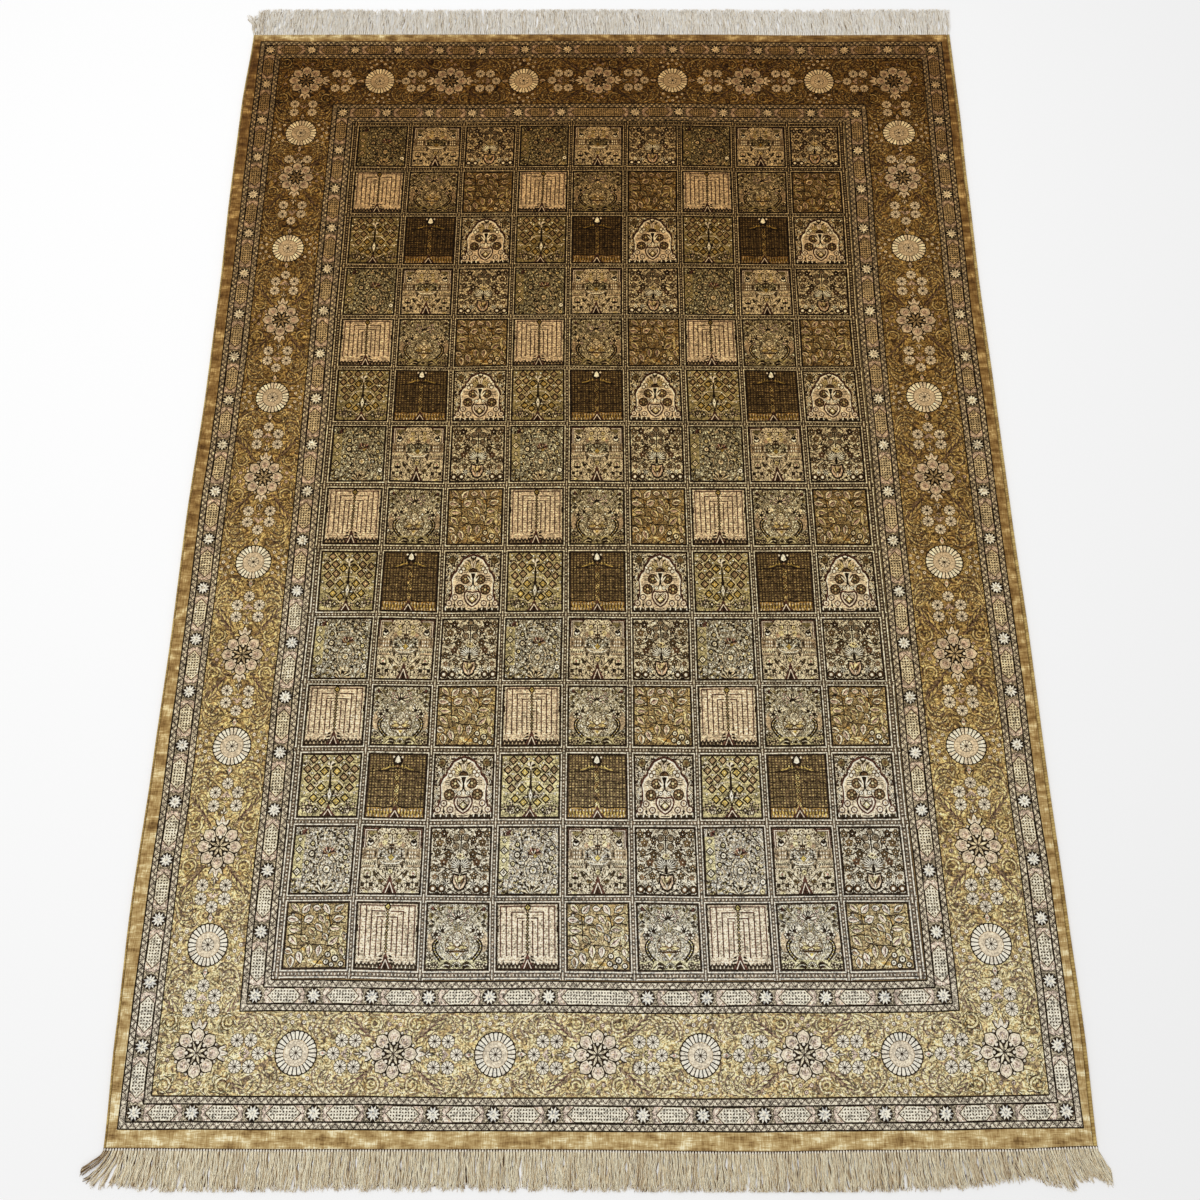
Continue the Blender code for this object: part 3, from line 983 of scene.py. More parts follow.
def panel_wreath():
    """A: a garden bed seen from above, with an oval wreath of leaves round a flower."""
    d = panel("meadow", 1)
    d.box("lime", 2, 14, 17, 76)
    leaf_ring(d, 54, 50, 22.0, 44, 46, ("slate", "outline", "leaf_dark", "grey_light", "slate", "outline",
                                        "grey"), 8.5, 3.4, 36)
    leaf_ring(d, 54, 50, 17.5, 36, 30, ("outline", "grey_light", "leaf_dark", "olive", "outline", "frost"),
              6.5, 2.6, 50)
    for k in range(16):
        angle = FULL_TURN * (k + 0.5) / 16
        d.diamond("frost", 54 + 22.5 * math.cos(angle), 50 + 44.5 * math.sin(angle), 1.5, 1.7)
    for reach, ink, thick in ((15.5, "outline", 1.4), (13.2, "grey_light", 1.2), (11.2, "slate", 1.3)):
        for way in (-1, 1):
            arc = [(55 + way * reach * math.sin(a), 63 - 1.35 * reach * math.cos(a))
                   for a in (0.45, 1.0, 1.6, 2.2, 2.6)]
            d.stroke(ink, arc, thick, thick * 0.7)
    d.fan(("outline", "bark", "tan", "bark", "rose"), 56, 42, range(-168, -11, 13), 14, 3.0)
    d.fan(("outline", "frost", "outline"), 56, 40, range(-150, -29, 20), 6.5, 2.0)
    d.ringed(57.5, 43, 3.2, "outline", "yellow", "outline", 8)
    for x, y, angle in ((44, 51, -150), (67, 50, -30), (43, 58, 170), (69, 58, 10), (46, 72, 140),
                        (65, 72, 40)):
        sickle(d, x, y, angle, 9, 4.2, 1.4, "frost")
    d.ringed(54.8, 63.5, 6.4, "outline", "frost", "brown", 12)
    d.diamond("yellow", 54.8, 63.5, 1.6, 1.6)
    d.fan(("outline", "grey_light", "leaf_dark", "frost"), 53, 98, range(-168, -11, 12), 17, 3.6)
    d.fan(("frost", "grey_light"), 53, 88, (-150, -118, -90, -62, -30), 7.5, 3.0, 3)
    d.disc("outline", 53, 88, 2.6, 8)
    for y, size in ((20.5, 4.6), (35, 7.0), (49.5, 4.8), (67, 7.4)):
        d.diamonds(9.4, y, (("outline", size, size), ("frost", size * 0.68, size * 0.68)))
        if size > 6:
            d.diamonds(9.4, y, (("outline", size * 0.34, size * 0.34), ("frost", size * 0.14, size * 0.14)))
    d.leaves((("bark", 11, 14, -50, 13, 6.0), ("outline", 9, 15, -100, 9, 3.6),
              ("bark", 19, 13, -135, 10, 4.2)))
    for x, y, size in ((29.8, 26.4, 4.6), (29.8, 41.4, 5.8), (23.5, 54.5, 4.6), (80, 11, 4.2), (83, 31, 4.4),
                       (82, 46, 4.4)):
        d.discs(x, y, (("outline", size, 10), ("frost" if size > 5 else "straw", size * 0.62, 8)))
        d.diamond("outline", x, y, size * 0.26, size * 0.26)
    d.stroke("outline", [(68, 6), (82, 20), (93, 36)], 1.2)
    d.leaves((("outline", 72, 19, 15, 12, 4.6), ("frost", 73.5, 19.4, 15, 8.5, 2.4)))
    d.strokes((("outline", [(74, 97), (80, 85), (88, 77)], 1.8), ("frost", [(77, 97), (83, 88)], 1.4)))
    d.leaf("grey_light", 76, 92, -64, 12, 2.4)
    d.ringed(87.6, 79, 5.0)
    d.ringed(86.4, 93, 4.6, "olive", "straw", "brown")
    for x, y in ((86, 58), (87, 68), (79, 61), (20, 10), (35, 12), (66, 13), (22, 33), (24, 68)):
        d.fan(("outline", "straw", "leaf_dark"), x, y + 2, (-150, -90, -30), 6.0, 2.6)
    d.stroke("outline", [(17, 97), (17, 84), (20, 72)], 1.2)
    for x, y in ((7, 87), (12, 94), (24, 90), (30, 80), (6, 79), (33, 93)):
        d.fan(("olive", "outline", "leaf_dark"), x, y + 3, (-160, -125, -90, -55, -20), 6.8, 2.4)
        d.disc("straw", x, y + 2.6, 1.3, 6)
    return framed(d)


# The leaf clusters of panel C, on the left half. Columns: across, along, size, ink, ink of the heart
CLUSTERS = (
    (7.9, 10, 7.2, "leaf_dark", "tan"), (20.6, 9.8, 7.2, "outline", "brown"),
    (14.3, 23, 6.8, "brown", "olive"), (28.6, 19, 6.6, "outline", "tan"),
    (11.6, 37, 6.6, "leaf_dark", "tan"), (28.6, 40, 7.4, "leaf_dark", "brown"),
    (22.4, 51, 6.6, "brown", "bark"), (7.6, 60, 6.8, "leaf_dark", "tan"), (34.6, 57, 5.6, "brown", "olive"),
    (26, 70.5, 6.6, "leaf_dark", "tan"), (9.5, 73, 5.0, "brown", "tan"), (36, 76, 4.6, "leaf_dark", "tan"),
)


def panel_candelabra():
    """B: a flowering candelabra over a root, with crowned niches at both sides."""
    d = panel("cream", 2)
    x = PANEL_AXIS
    since = len(d.shapes)
    d.shape("bark", ((2.5, 2.5), (25, 2.5), (25, 6.5), (7, 6.5), (7, 31), (2.5, 31)))
    d.shape("petal", ((4.2, 31), (4.2, 4.6), (22, 4.6), (22, 5.6), (5.4, 5.6), (5.4, 31)))
    d.shape("olive", ((9, 6.8), (24, 6.8), (22, 10.5), (19, 10), (16, 14), (12, 13.4), (9, 10)))
    d.shape("outline", ((12, 13), (15.5, 14.4), (19, 10.8), (22, 10.8), (19, 13), (15.5, 16.6),
                        (11.5, 14.6)))
    d.ringed(13.9, 23.5, 5.4, "outline", "white", "outline", 12)
    d.shape("outline", ((9.5, 22.4), (13.9, 25), (18.3, 22.4), (16.6, 20), (11.2, 20)))
    for px, py in ((10.5, 16.8), (20.5, 15.4), (22, 18.6), (8.6, 30)):
        d.diamond("leaf_dark", px, py, 1.5, 1.5)
    d.strokes((("brown", [(14, 29), (24, 20), (30, 12)], 1.0), ("brown", [(22, 8), (30, 13)], 1.5)))
    d.box("cream_shade", 2.4, 33, 27, 48)
    for k in range(6):
        px = 5.0 + 4.1 * k
        d.box("grey" if k % 2 else "brown", px - 0.6, 31 if k % 3 == 1 else 33, px + 0.6, 48)
        d.diamond("white", px + 2.0, 38, 1.2, 1.9)
        d.diamond("white", px + 2.0, 44, 1.2, 1.9)
    for y in (35.5, 41, 46.5):
        d.box("grey", 2.4, y - 0.45, 27, y + 0.45)
    d.leaves((("outline", 23.4, 47, -90, 16, 2.6), ("brown", 7.0, 47, -90, 14, 2.0)))
    d.box("cream_shade", 3.4, 56.5, 22.5, 59.4)
    d.box("guard_dark", 3.4, 59.0, 22.5, 60.0)
    for k in range(7):
        d.leaf("leaf_dark", 4.6 + 2.9 * k, 56.8, -90, 5.6, 2.0)
        d.diamond("straw", 4.6 + 2.9 * k, 51.6, 0.9, 0.9)
    d.ringed(30.7, 27.0, 4.6, "tan", "cream_shade", "rose")
    d.ringed(37, 14.3, 4.6, "brown", "straw", "olive")
    d.ringed(12.8, 69, 6.0, "olive", "cream", "rose", 12)
    d.shape("outline", ((5.8, 71.2), (9.6, 72.6), (12.8, 70.6), (16.2, 72.6), (20, 71.2), (17.5, 75.2),
                        (12.8, 76.8), (8.2, 75.2)))
    d.stroke("leaf_dark", [(12.8, 76), (12.8, 96)], 1.0)
    for px in (6.2, 19.4):
        d.box("outline", px - 2.9, 81.5, px + 2.9, 87.2)
        d.box("leaf_dark", px - 1.2, 83, px + 1.2, 85.6)
        d.stroke("leaf_dark", [(px, 87), (12.8, 92)], 0.9)
    d.shape("leaf_dark", ((20, 64), (25, 66), (29, 71.5), (25, 72.5), (21.5, 69)))
    d.stroke("brown", [(3, 92), (8, 90), (13, 93), (19, 90), (25, 92)], 1.0)
    d.disc("straw", 12, 95.5, 4.4, 8, 0.5)
    d.shape("meadow", ((26.5, 34), (33, 30.5), (40, 33), (x, 30), (x, 50), (36, 49), (29, 48)))
    for px, py, angle in ((31, 36, -60), (36, 34, -110), (41, 36, -80), (33, 42, 170), (38, 44, 160),
                          (43, 40, -95), (30, 46, 150), (36, 48, 185)):
        d.leaf("leaf_dark" if px % 2 else "slate", px, py, angle, 5.5, 2.6)
    d.leaf("outline", 31.6, 46.5, -90, 10, 3.2)
    d.shape("grey", ((27, 50), (33, 50), (31.5, 60), (28, 62)))
    d.leaf("outline", 30, 62, -90, 9, 3.4)
    d.strokes((("white", [(31, 50.5), (38, 54), (x, 54.4)], 1.4),
               ("guard_dark", [(33, 55.2), (38, 56.4), (x, 56.8)], 1.0),
               ("outline", [(35, 58.4), (x, 58.6)], 1.4)))
    for px, py, angle in ((32, 69, -115), (36.5, 66.5, -95), (40, 70, -80), (28, 72, -140)):
        d.leaf("leaf_dark", px, py + 3, angle, 7.5, 2.4)
    d.strokes((("leaf_dark", [(x - 1, 84), (38, 76), (31, 70), (25, 64)], 1.2),
               ("leaf_dark", [(x - 2, 92), (36, 84), (30, 78), (22, 70)], 1.0)))
    d.fan(("olive", "brown", "leaf_dark"), 34.5, 82, (-150, -120, -90, -60, -30), 6.8, 3.0)
    d.stroke("leaf_dark", [(34.5, 82), (36, 95)], 1.3)
    d.leaves((("leaf_dark", 31, 90, -110, 7, 2.2), ("leaf_dark", 40, 88, -70, 6, 2.2)))
    d.mirror(since, x)
    d.stroke("outline", [(x, 12), (x, 46)], 1.5, 2.0)
    d.ringed(x, 7.6, 4.6, "brown", "cream", "olive")
    since = len(d.shapes)
    d.strokes((("brown", [(x, 27), (x - 8, 24.5), (x - 12, 21)], 1.2),
               ("brown", [(x, 31), (x - 6, 30), (x - 13, 31)], 1.1)))
    d.disc("straw", x + 11, 24, 4.4, 8)
    d.mirror(since, x)
    d.diamonds(x, 45.5, (("outline", 5.6, 5.6), ("yellow", 4.5, 4.5)))
    d.ringed(x, 66, 5.0, "leaf_dark", "straw", "olive")
    root(d, 70, 11.5)
    return framed(d)


def panel_grove():
    """C: branching trees and palm sprays, the same on both sides."""
    d = panel("sward", 3)
    x = PANEL_AXIS + 0.3
    since = len(d.shapes)
    d.strokes((("outline", [(18, 32.8), (27, 32.4), (33, 34)], 1.8),
               ("outline", [(28.5, 33), (22, 38), (12, 42), (4, 44)], 1.2),
               ("outline", [(x, 67.5), (40, 65), (32, 62), (22, 59), (10, 61)], 1.8, 1.2),
               ("outline", [(28, 60), (20, 66), (12, 72)], 1.2),
               ("outline", [(21, 9), (15, 17), (14, 30)], 1.2)))
    for px, py, angle, long, wide in (
            (3, 26, 20, 8, 3.6), (4, 31, 60, 8, 3.4), (20, 29, -60, 7, 3.0), (36, 36, -30, 8, 3),
            (5, 48, 20, 9, 3.4), (15, 45, -160, 8, 3), (33, 48, -170, 9, 2.8), (16, 55, -40, 7, 3.0),
            (18, 62, 150, 8, 3.4), (38, 64, 160, 8, 3.2), (17, 78, -120, 7, 3.0), (4, 18, 60, 6, 3),
            (34, 6, -30, 7, 3.4), (20, 66, 30, 6, 2.6), (3, 84, -60, 6, 2.8), (39, 44, -110, 8, 2.8)):
        d.leaves((("outline", px, py, angle, long, wide),
                  ("tan", *spot(px, py, angle, long * 0.25), angle, long * 0.5, wide * 0.36)))
    for px, py, size, ink, heart in CLUSTERS:
        d.fan((ink,), px, py, range(-90, 270, 72), size * 1.06, size * 0.86)
        d.ring(px, py, size * 0.52, 5, ((heart, size * 0.17, 5),), -90)
        d.disc("petal", px, py, size * 0.16, 5)
    for py in (15.6, 28.2):
        d.discs(39.8, py, (("outline", 5.8, 12), ("grey", 4.6, 10)))
        d.ringed(39.8, py, 2.2, "outline", "tan", "brown", 8)
    for angle, long in ((-100, 15), (-114, 17), (-128, 18), (-142, 19), (-156, 18), (-170, 15)):
        foot = spot(x, 60, angle, 3.0)
        d.leaves((("slate", *foot, angle, long, 3.6, -1.4),
                  ("white", *spot(x, 60, angle, 4.6), angle, long * 0.76, 1.5, -1.0)))
    d.shape("outline", ((x, 69), (37, 66.6), (35.6, 80), (40, 91), (x, 94)))
    d.shape("peach", ((x, 72), (39, 70), (38, 80), (42, 88), (x, 91)))
    d.leaf("outline", 39.6, 72, 68, 16, 3.0)
    for px in (7.6, 21.0):
        d.discs(px, 90.0, (("outline", 6.2, 12), ("brown", 4.6, 10)))
        d.disc("white", px, 90.2, 2.6, 8)
    d.stroke("outline", [(14.4, 97), (14.4, 86), (14.4, 80)], 1.8)
    d.disc("outline", 14.4, 97, 3.6, 8, 0.7)
    d.ringed(14.4, 81, 3.6, "outline", "white", "brown", 8)
    for k in range(7):
        d.leaves((("slate", 27.4, 82.5, 360 * k / 7, 6.8, 2.6),
                  ("white", 27.4, 82.5, 360 * (k + 0.5) / 7, 5.8, 1.3)))
    d.stroke("outline", [(28, 96), (35, 92), (41, 95), (46, 96.4)], 1.5)
    d.leaf("outline", 35, 89, 150, 7, 3.4)
    d.mirror(since, x)
    d.discs(x, 7.4, (("outline", 5.4, 12), ("grey", 4.2, 10)))
    d.ringed(x, 7.4, 2.2, "outline", "tan", "brown", 8)
    d.stroke("outline", [(x, 12), (x, 39)], 2.4, 1.8)
    d.fan(("outline", "straw"), x, 47, range(-160, -19, 20), 9, 2.6)
    d.diamonds(x, 42, (("straw", 5.0, 4.2), ("bark", 2.6, 2.0)))
    d.leaf("black", x, 68, -90, 14, 5.4)
    d.fan(("straw", "brown", "straw"), x, 84, (-122, -106, -90, -74, -58), 15, 3.6)
    d.leaves((("outline", x, 91, -90, 13, 4.0), ("petal", x, 90, -90, 8, 2.0)))
    return framed(d)


def panel_arbour():
    """D: nested frames of thin lines over a knotted stem, on cream."""
    d = panel("courses", 4)
    x = PANEL_AXIS
    since = len(d.shapes)
    for left, top, low in ((6.2, 5.0, 80), (15.2, 5.0, 79), (23.4, 13.6, 79), (31.8, 22.4, 80),
                           (39.4, 27.2, 73)):
        d.box("bark", left - 0.95, top, left + 0.95, low)
        if left != 15.2:
            d.box("bark", left - 0.95, top - 0.95, x - (4.4 if top < 25 else 6), top + 0.95)
    d.box("cream", 2.4, 2.4, 4.0, 84)
    for k in range(6):
        d.shape("guard_dark", ((2 + 6 * k, 97), (2.5 + 6 * k, 91), (5 + 6 * k, 88.0 - (k % 2) * 2.2),
                               (7.5 + 6 * k, 91), (8 + 6 * k, 97)))
        d.shape("grey_light", ((3.6 + 6 * k, 96), (5 + 6 * k, 91.4), (6.4 + 6 * k, 96)))
        d.diamond("outline", 8 + 6 * k, 92.5, 1.1, 2.4)
    for py, long in ((78, 7), (83, 9), (88, 11)):
        d.leaf("outline", x - 4, py, 160, long, 3.4)
    d.mirror(since, x)
    for k in range(13):
        y = 12.5 + 5.0 * k
        d.diamonds(x, y,
                   (("outline" if k % 2 else "leaf_dark", 3.2, 3.3),
                    ("olive" if k % 3 else "tan", 1.5, 1.7)))
    d.disc("outline", x, 6.8, 5.2, 8)
    d.diamonds(x, 6.8, (("yellow", 3.4, 3.8), ("olive", 1.8, 2.0)))
    root(d, 74, 11.0)
    return framed(d)


def panel_vase():
    """E: a round vase with a tall bunch of flowers, chains of leaves and corner blossoms."""
    d = panel("khaki", 5)
    x = PANEL_AXIS + 0.4
    d.box("lime", 2.4, 84, 92.2, 96.6)
    since = len(d.shapes)
    d.disc("cream_shade", 9, 58, 6.5, 10, 2.4)
    for px, py, angle, long, wide, ink in (
            (5, 8, 20, 11, 5.5, "outline"), (7, 5, 60, 8, 4.4, "bark"), (16, 6, 60, 9, 4, "olive"),
            (24, 5, 100, 9, 4, "leaf_dark"), (30, 6, 30, 8, 3.4, "olive"), (6, 15, 80, 11, 7, "olive"),
            (10, 15, 110, 8, 4, "leaf_dark"), (6, 26, 30, 9, 3, "outline"), (3, 35, -10, 10, 3.4, "slate"),
            (34, 9, -20, 7, 3.4, "brown"), (14, 12, 45, 17, 2.6, "cream"),
            (17, 11, 48, 15, 1.6, "leaf_dark"), (20, 20, 130, 9, 3.6, "leaf_dark")):
        d.leaf(ink, px, py, angle, long, wide)
    for k in range(7):
        for px, py in ((23.5 + 4.4 * k * 0.9, 30 + 3.1 * k), (28 + 4.0 * k * 0.9, 27 + 2.6 * k)):
            d.diamonds(px, py, (("guard_dark" if k % 2 else "brown", 1.9, 1.9), ("frost", 1.0, 1.0)))
    d.stroke("olive", [(31, 20), (38, 30), (x, 46)], 1.3)
    for px, py, size in ((34, 13, 3.4), (33, 21, 3.2), (38, 27, 2.9)):
        d.ringed(px, py, size, "guard_dark", "guard_rose", "outline", 8)
    d.fan(("outline", "frost"), 24.5, 42.5, range(-160, -19, 20), 9.5, 3.2)
    d.disc("outline", 24.5, 41.5, 3.0, 8)
    d.disc("frost", 32.4, 37.6, 3.4, 8)
    d.ring(15, 47, 4.6, 6, (("guard_dark", 2.9, 8), ("frost", 1.7, 6)))
    d.disc("outline", 15, 47, 2.4, 8)
    d.disc("frost", 12.5, 38.6, 3.0, 8)
    d.ringed(21, 52, 3.0, "brown", "guard_rose", "outline", 8)
    chain = smoothed([(19.5, 54), (14, 60), (13.5, 68), (17.5, 76), (23.5, 83)], 3)
    for k, (px, py) in enumerate(chain[:-1]):
        qx, qy = chain[k + 1]
        heading = math.degrees(math.atan2(qy - py, qx - px))
        d.leaves((("outline", px, py, heading + 28, 6.4, 3.6), ("outline", px, py, heading - 28, 6.4, 3.6),
                  ("yellow" if k % 2 else "frost", px, py, heading, 3.2, 1.7)))
    for cx, cy in ((8.2, 81), (7, 93), (16.5, 91)):
        d.disc("slate", cx, cy, 5.4, 10)
        d.ring(cx, cy, 3.2, 5, (("grey_light", 1.3, 6),))
        d.disc("outline", cx, cy, 1.2, 6)
    d.shape("leaf_dark", ((28, 95), (32, 85), (38, 88), (40, 96)))
    d.leaf("outline", 38, 97, -128, 14, 6.0)
    d.strokes((("outline", [(22, 95), (30, 88.5), (38, 89), (41, 94)], 1.3),
               ("frost", [(24, 96), (31, 91), (37, 92)], 1.0)))
    d.mirror(since, x)
    for angle in range(-165, -14, 25):
        d.leaves((("outline", x, 25, angle, 16, 6.4),
                  ("frost" if angle % 2 else "guard_rose", *spot(x, 25, angle, 3), angle, 11.5, 3.4)))
    d.leaves((("outline", x, 21, -90, 9, 5), ("frost", x, 20, -90, 6.5, 2.6)))
    d.disc("frost", x, 27, 2.7, 8)
    d.stroke("olive", [(x, 29), (x, 47)], 1.5)
    d.discs(x, 62, (("brown", 18.2, 20), ("khaki", 17.2, 20)))
    d.disc("sward", x, 63, 15.0, 16)
    for angle, ink in ((-150, "straw"), (-30, "straw"), (178, "gold_light"), (2, "gold_light"),
                       (-118, "frost"), (-62, "frost")):
        d.leaves((("brown", x, 66, angle, 17, 7.6), (ink, *spot(x, 66, angle, 2), angle, 13, 5.0)))
    d.discs(x, 61.5, (("brown", 4.2, 10), ("frost", 3.0, 8)))
    d.shape("brown", ((x - 18, 70.2), (x + 18, 70.2), (x + 10, 73.5), (x, 85.5), (x - 10, 73.5)))
    d.shape("frost", ((x - 8.5, 73.4), (x + 8.5, 73.4), (x, 83.4)))
    d.shape("yellow", ((x - 4, 74), (x + 4, 74), (x, 79.6)))
    d.strokes((("outline", [(x - 17.6, 70.8), (x - 6, 71.6)], 1.6),
               ("outline", [(x + 17.6, 70.8), (x + 6, 71.6)], 1.6),
               ("frost", [(x - 6, 50), (x - 4, 46), (x, 44.2), (x + 4, 46), (x + 6, 50)], 1.6),
               ("brown", [(x - 7, 52), (x - 5, 46), (x, 42.8), (x + 5, 46), (x + 7, 52)], 0.9)))
    for k in range(7):
        d.discs(*spot(x, 93, -180 + 30 * k, 5.2), (("slate", 2.2, 6), ("frost", 1.2, 6)))
    d.disc("outline", x, 92.6, 2.6, 8)
    return framed(d)


# The pods of panel F. Columns: across, along, angle in degrees, length, width
PODS = (
    (12.6, 8.6, 45, 17, 9.5), (29, 9.6, -50, 16, 10), (45, 8.6, 5, 12, 9), (60.4, 10.6, 58, 17, 9.5),
    (79.4, 9.0, -36, 16, 9.5), (10, 25.6, 8, 17, 10), (34, 25, -28, 15, 12), (54, 24.6, 52, 17, 10),
    (79.5, 24.6, -12, 16, 10), (14, 41, 4, 17, 10), (75, 39, 2, 17, 9.5), (50.5, 38, 45, 15, 9),
    (41, 44, 44, 16, 10), (12.6, 57.4, 48, 18, 10.5), (30, 55, 42, 14, 9), (73, 57, -42, 19, 11.5),
    (7.6, 73, 20, 13, 9.5), (38.4, 72.6, 88, 18, 10), (52.6, 72.6, 96, 16, 9.5), (24.6, 82, 70, 17, 10),
    (12.6, 88, 82, 16, 10.5), (86.6, 73, 70, 15, 9), (89, 51, 84, 12, 7), (63, 33, 78, 14, 8),
    (61, 52, 60, 13, 8),
)


def panel_pods():
    """F: pods of silk in the wind, on gold."""
    d = panel("husk", 6)
    for x, y, angle, long, wide, ink in (
            (18, 18, 30, 24, 6, "amber"), (60, 18, 60, 26, 5, "amber"), (84, 92, -120, 30, 9, "straw"),
            (60, 94, -160, 26, 7, "straw"), (6, 50, -80, 24, 5, "straw"), (84, 66, -90, 30, 5, "straw"),
            (44, 88, 10, 22, 6, "amber"), (24, 68, 20, 20, 5, "amber")):
        d.leaf(ink, x, y, angle, long, wide)
    for points in ([(3, 50), (22, 48), (34, 62), (62, 64), (80, 70), (92, 66)],
                   [(22, 20), (24, 36), (24, 50)], [(64, 18), (68, 40), (62, 62)],
                   [(20, 96), (30, 86), (44, 62)], [(44, 17), (64, 20), (90, 15)],
                   [(3, 17), (20, 18), (42, 34), (64, 52)], [(46, 97), (58, 82), (76, 66)],
                   [(91, 32), (72, 31), (63, 46)], [(3, 34), (22, 33), (40, 34)],
                   [(2, 65), (20, 70), (32, 64)]):
        d.stroke("outline", points, 1.7, 1.2)
    for x, y, angle, long, wide in PODS:
        long, wide = long * 1.24, wide * 1.26
        foot = spot(x, y, angle, -long / 2)
        d.leaf("outline", *foot, angle, long, wide)
        d.leaf("frost" if (x + y) % 3 > 1.0 else "straw", *spot(*foot, angle, 1.4), angle, long - 2.8,
               wide - 2.6)
        d.leaf("blush" if (x + y) % 4 > 1 else "tan", *spot(*foot, angle, 2.8, 0.8), angle, long - 6.0,
               wide * 0.46)
        d.leaf("bark", *spot(*foot, angle, 3.0, -0.6), angle, long - 7.0, wide * 0.14)
    for x, y, size in ((66, 78, 5), (77, 84, 6), (64, 89, 5), (86, 92, 5), (72, 93, 4.4), (10, 19, 2.6),
                       (92, 82, 4), (20, 30, 2.2), (44, 54, 2.4), (66, 44, 2.2)):
        d.discs(x, y, (("outline", size, 10), ("frost", size * 0.66, 8)))
        d.diamond("outline", x, y, size * 0.3, size * 0.3)
    return framed(d)


# The lozenges of panel G, on the left half. Columns: across, along
LOZENGES = (
    (19.3, 8.9), (36.0, 8.5), (11.0, 24.5), (25.1, 22.2), (38.0, 28.0), (13.4, 40.0), (27.0, 37.2),
    (17.6, 53.6), (34.3, 53.4), (23.6, 69.6), (36.8, 75.0),
)


def panel_lozenges():
    """G: a slim tree hung with arcs of lozenges."""
    d = panel("lime", 7)
    x = PANEL_AXIS + 0.5
    for px, py, size in ((12, 15, 9), (30, 47, 8), (80, 30, 9), (60, 62, 9), (20, 86, 10), (74, 88, 9)):
        d.disc("leafy", px, py, size, 10, 0.7)
    since = len(d.shapes)
    for points in ([(3, 14), (12, 15), (19, 9), (28, 3)], [(3, 26), (11, 24), (25, 22), (38, 28), (x, 22)],
                   [(3, 42), (13, 40), (27, 37), (38, 28)], [(3, 52), (17, 53.6), (34, 53.4), (x, 50)],
                   [(6, 66), (23, 69.6), (34, 62), (x, 66)], [(10, 74), (24, 70), (37, 75), (x, 80)]):
        d.stroke("leaf_dark", points, 1.2)
    for points in ([(4, 32), (20, 30), (33, 36), (x, 30)], [(4, 59), (20, 60), (33, 44), (x, 42)],
                   [(x, 88), (38, 84), (30, 80), (12, 72)]):
        d.stroke("petal", points, 1.1)
    for px, py in LOZENGES:
        d.diamonds(px, py,
                   (("straw", 9.2, 9.2), ("outline", 8.1, 8.1),
                    ("yellow" if (px + py) % 3 < 1 else "tan", 5.0, 5.0), ("straw", 1.6, 1.6)))
    for px, py in ((7, 6), (4, 19), (28, 14), (44, 7), (33, 18), (19, 31), (34, 44), (5, 50), (9, 62),
                   (27, 61), (44, 35), (30, 86)):
        d.discs(px, py, (("leaf_dark", 2.3, 6), ("white", 1.5, 6)))
    for px, py in ((9, 79), (16, 83), (11, 87), (5, 84), (38, 88), (18, 77)):
        d.fan(("slate",), px, py, range(40, 400, 90), 5.4, 2.6)
        d.disc("guard_rose", px, py, 1.3, 6)
    d.discs(28.2, 86, (("outline", 6.4, 12), ("lime", 5.2, 12)))
    d.ring(28.2, 86.4, 2.6, 4, (("outline", 2.3, 6),))
    d.disc("petal", 28.2, 86.4, 1.6, 6)
    d.strokes((("outline", [(14, 88), (17, 97)], 1.2), ("outline", [(26, 90), (23, 97)], 1.2)))
    d.leaves((("outline", x - 2, 66, 172, 11, 4.6), ("white", x - 3, 66, 172, 7, 1.8),
              ("leaf_dark", x - 3, 74, 140, 9, 3.2)))
    d.stroke("outline", [(x, 54), (x - 4.8, 60), (x - 4.0, 70), (x, 78)], 1.6)
    d.leaves((("leaf_dark", x, 24, 200, 12, 3.4), ("outline", x, 20, 215, 9, 2.6)))
    d.mirror(since, x)
    d.stroke("outline", [(x, 24), (x, 50)], 2.4, 3.6)
    d.leaf("outline", x, 56, -90, 10, 6.4)
    d.fan(("outline", "petal", "white", "petal", "outline"), x, 19, range(-160, -19, 14), 9, 2.8)
    d.leaf("petal", x, 26, -90, 10, 3.0)
    d.diamonds(x, 64, (("outline", 4.4, 11.4), ("white", 2.9, 9.4), ("outline", 1.3, 1.8)))
    d.diamond("outline", x, 78, 2.2, 4.4)
    root(d, 79, 13.0)
    return framed(d)


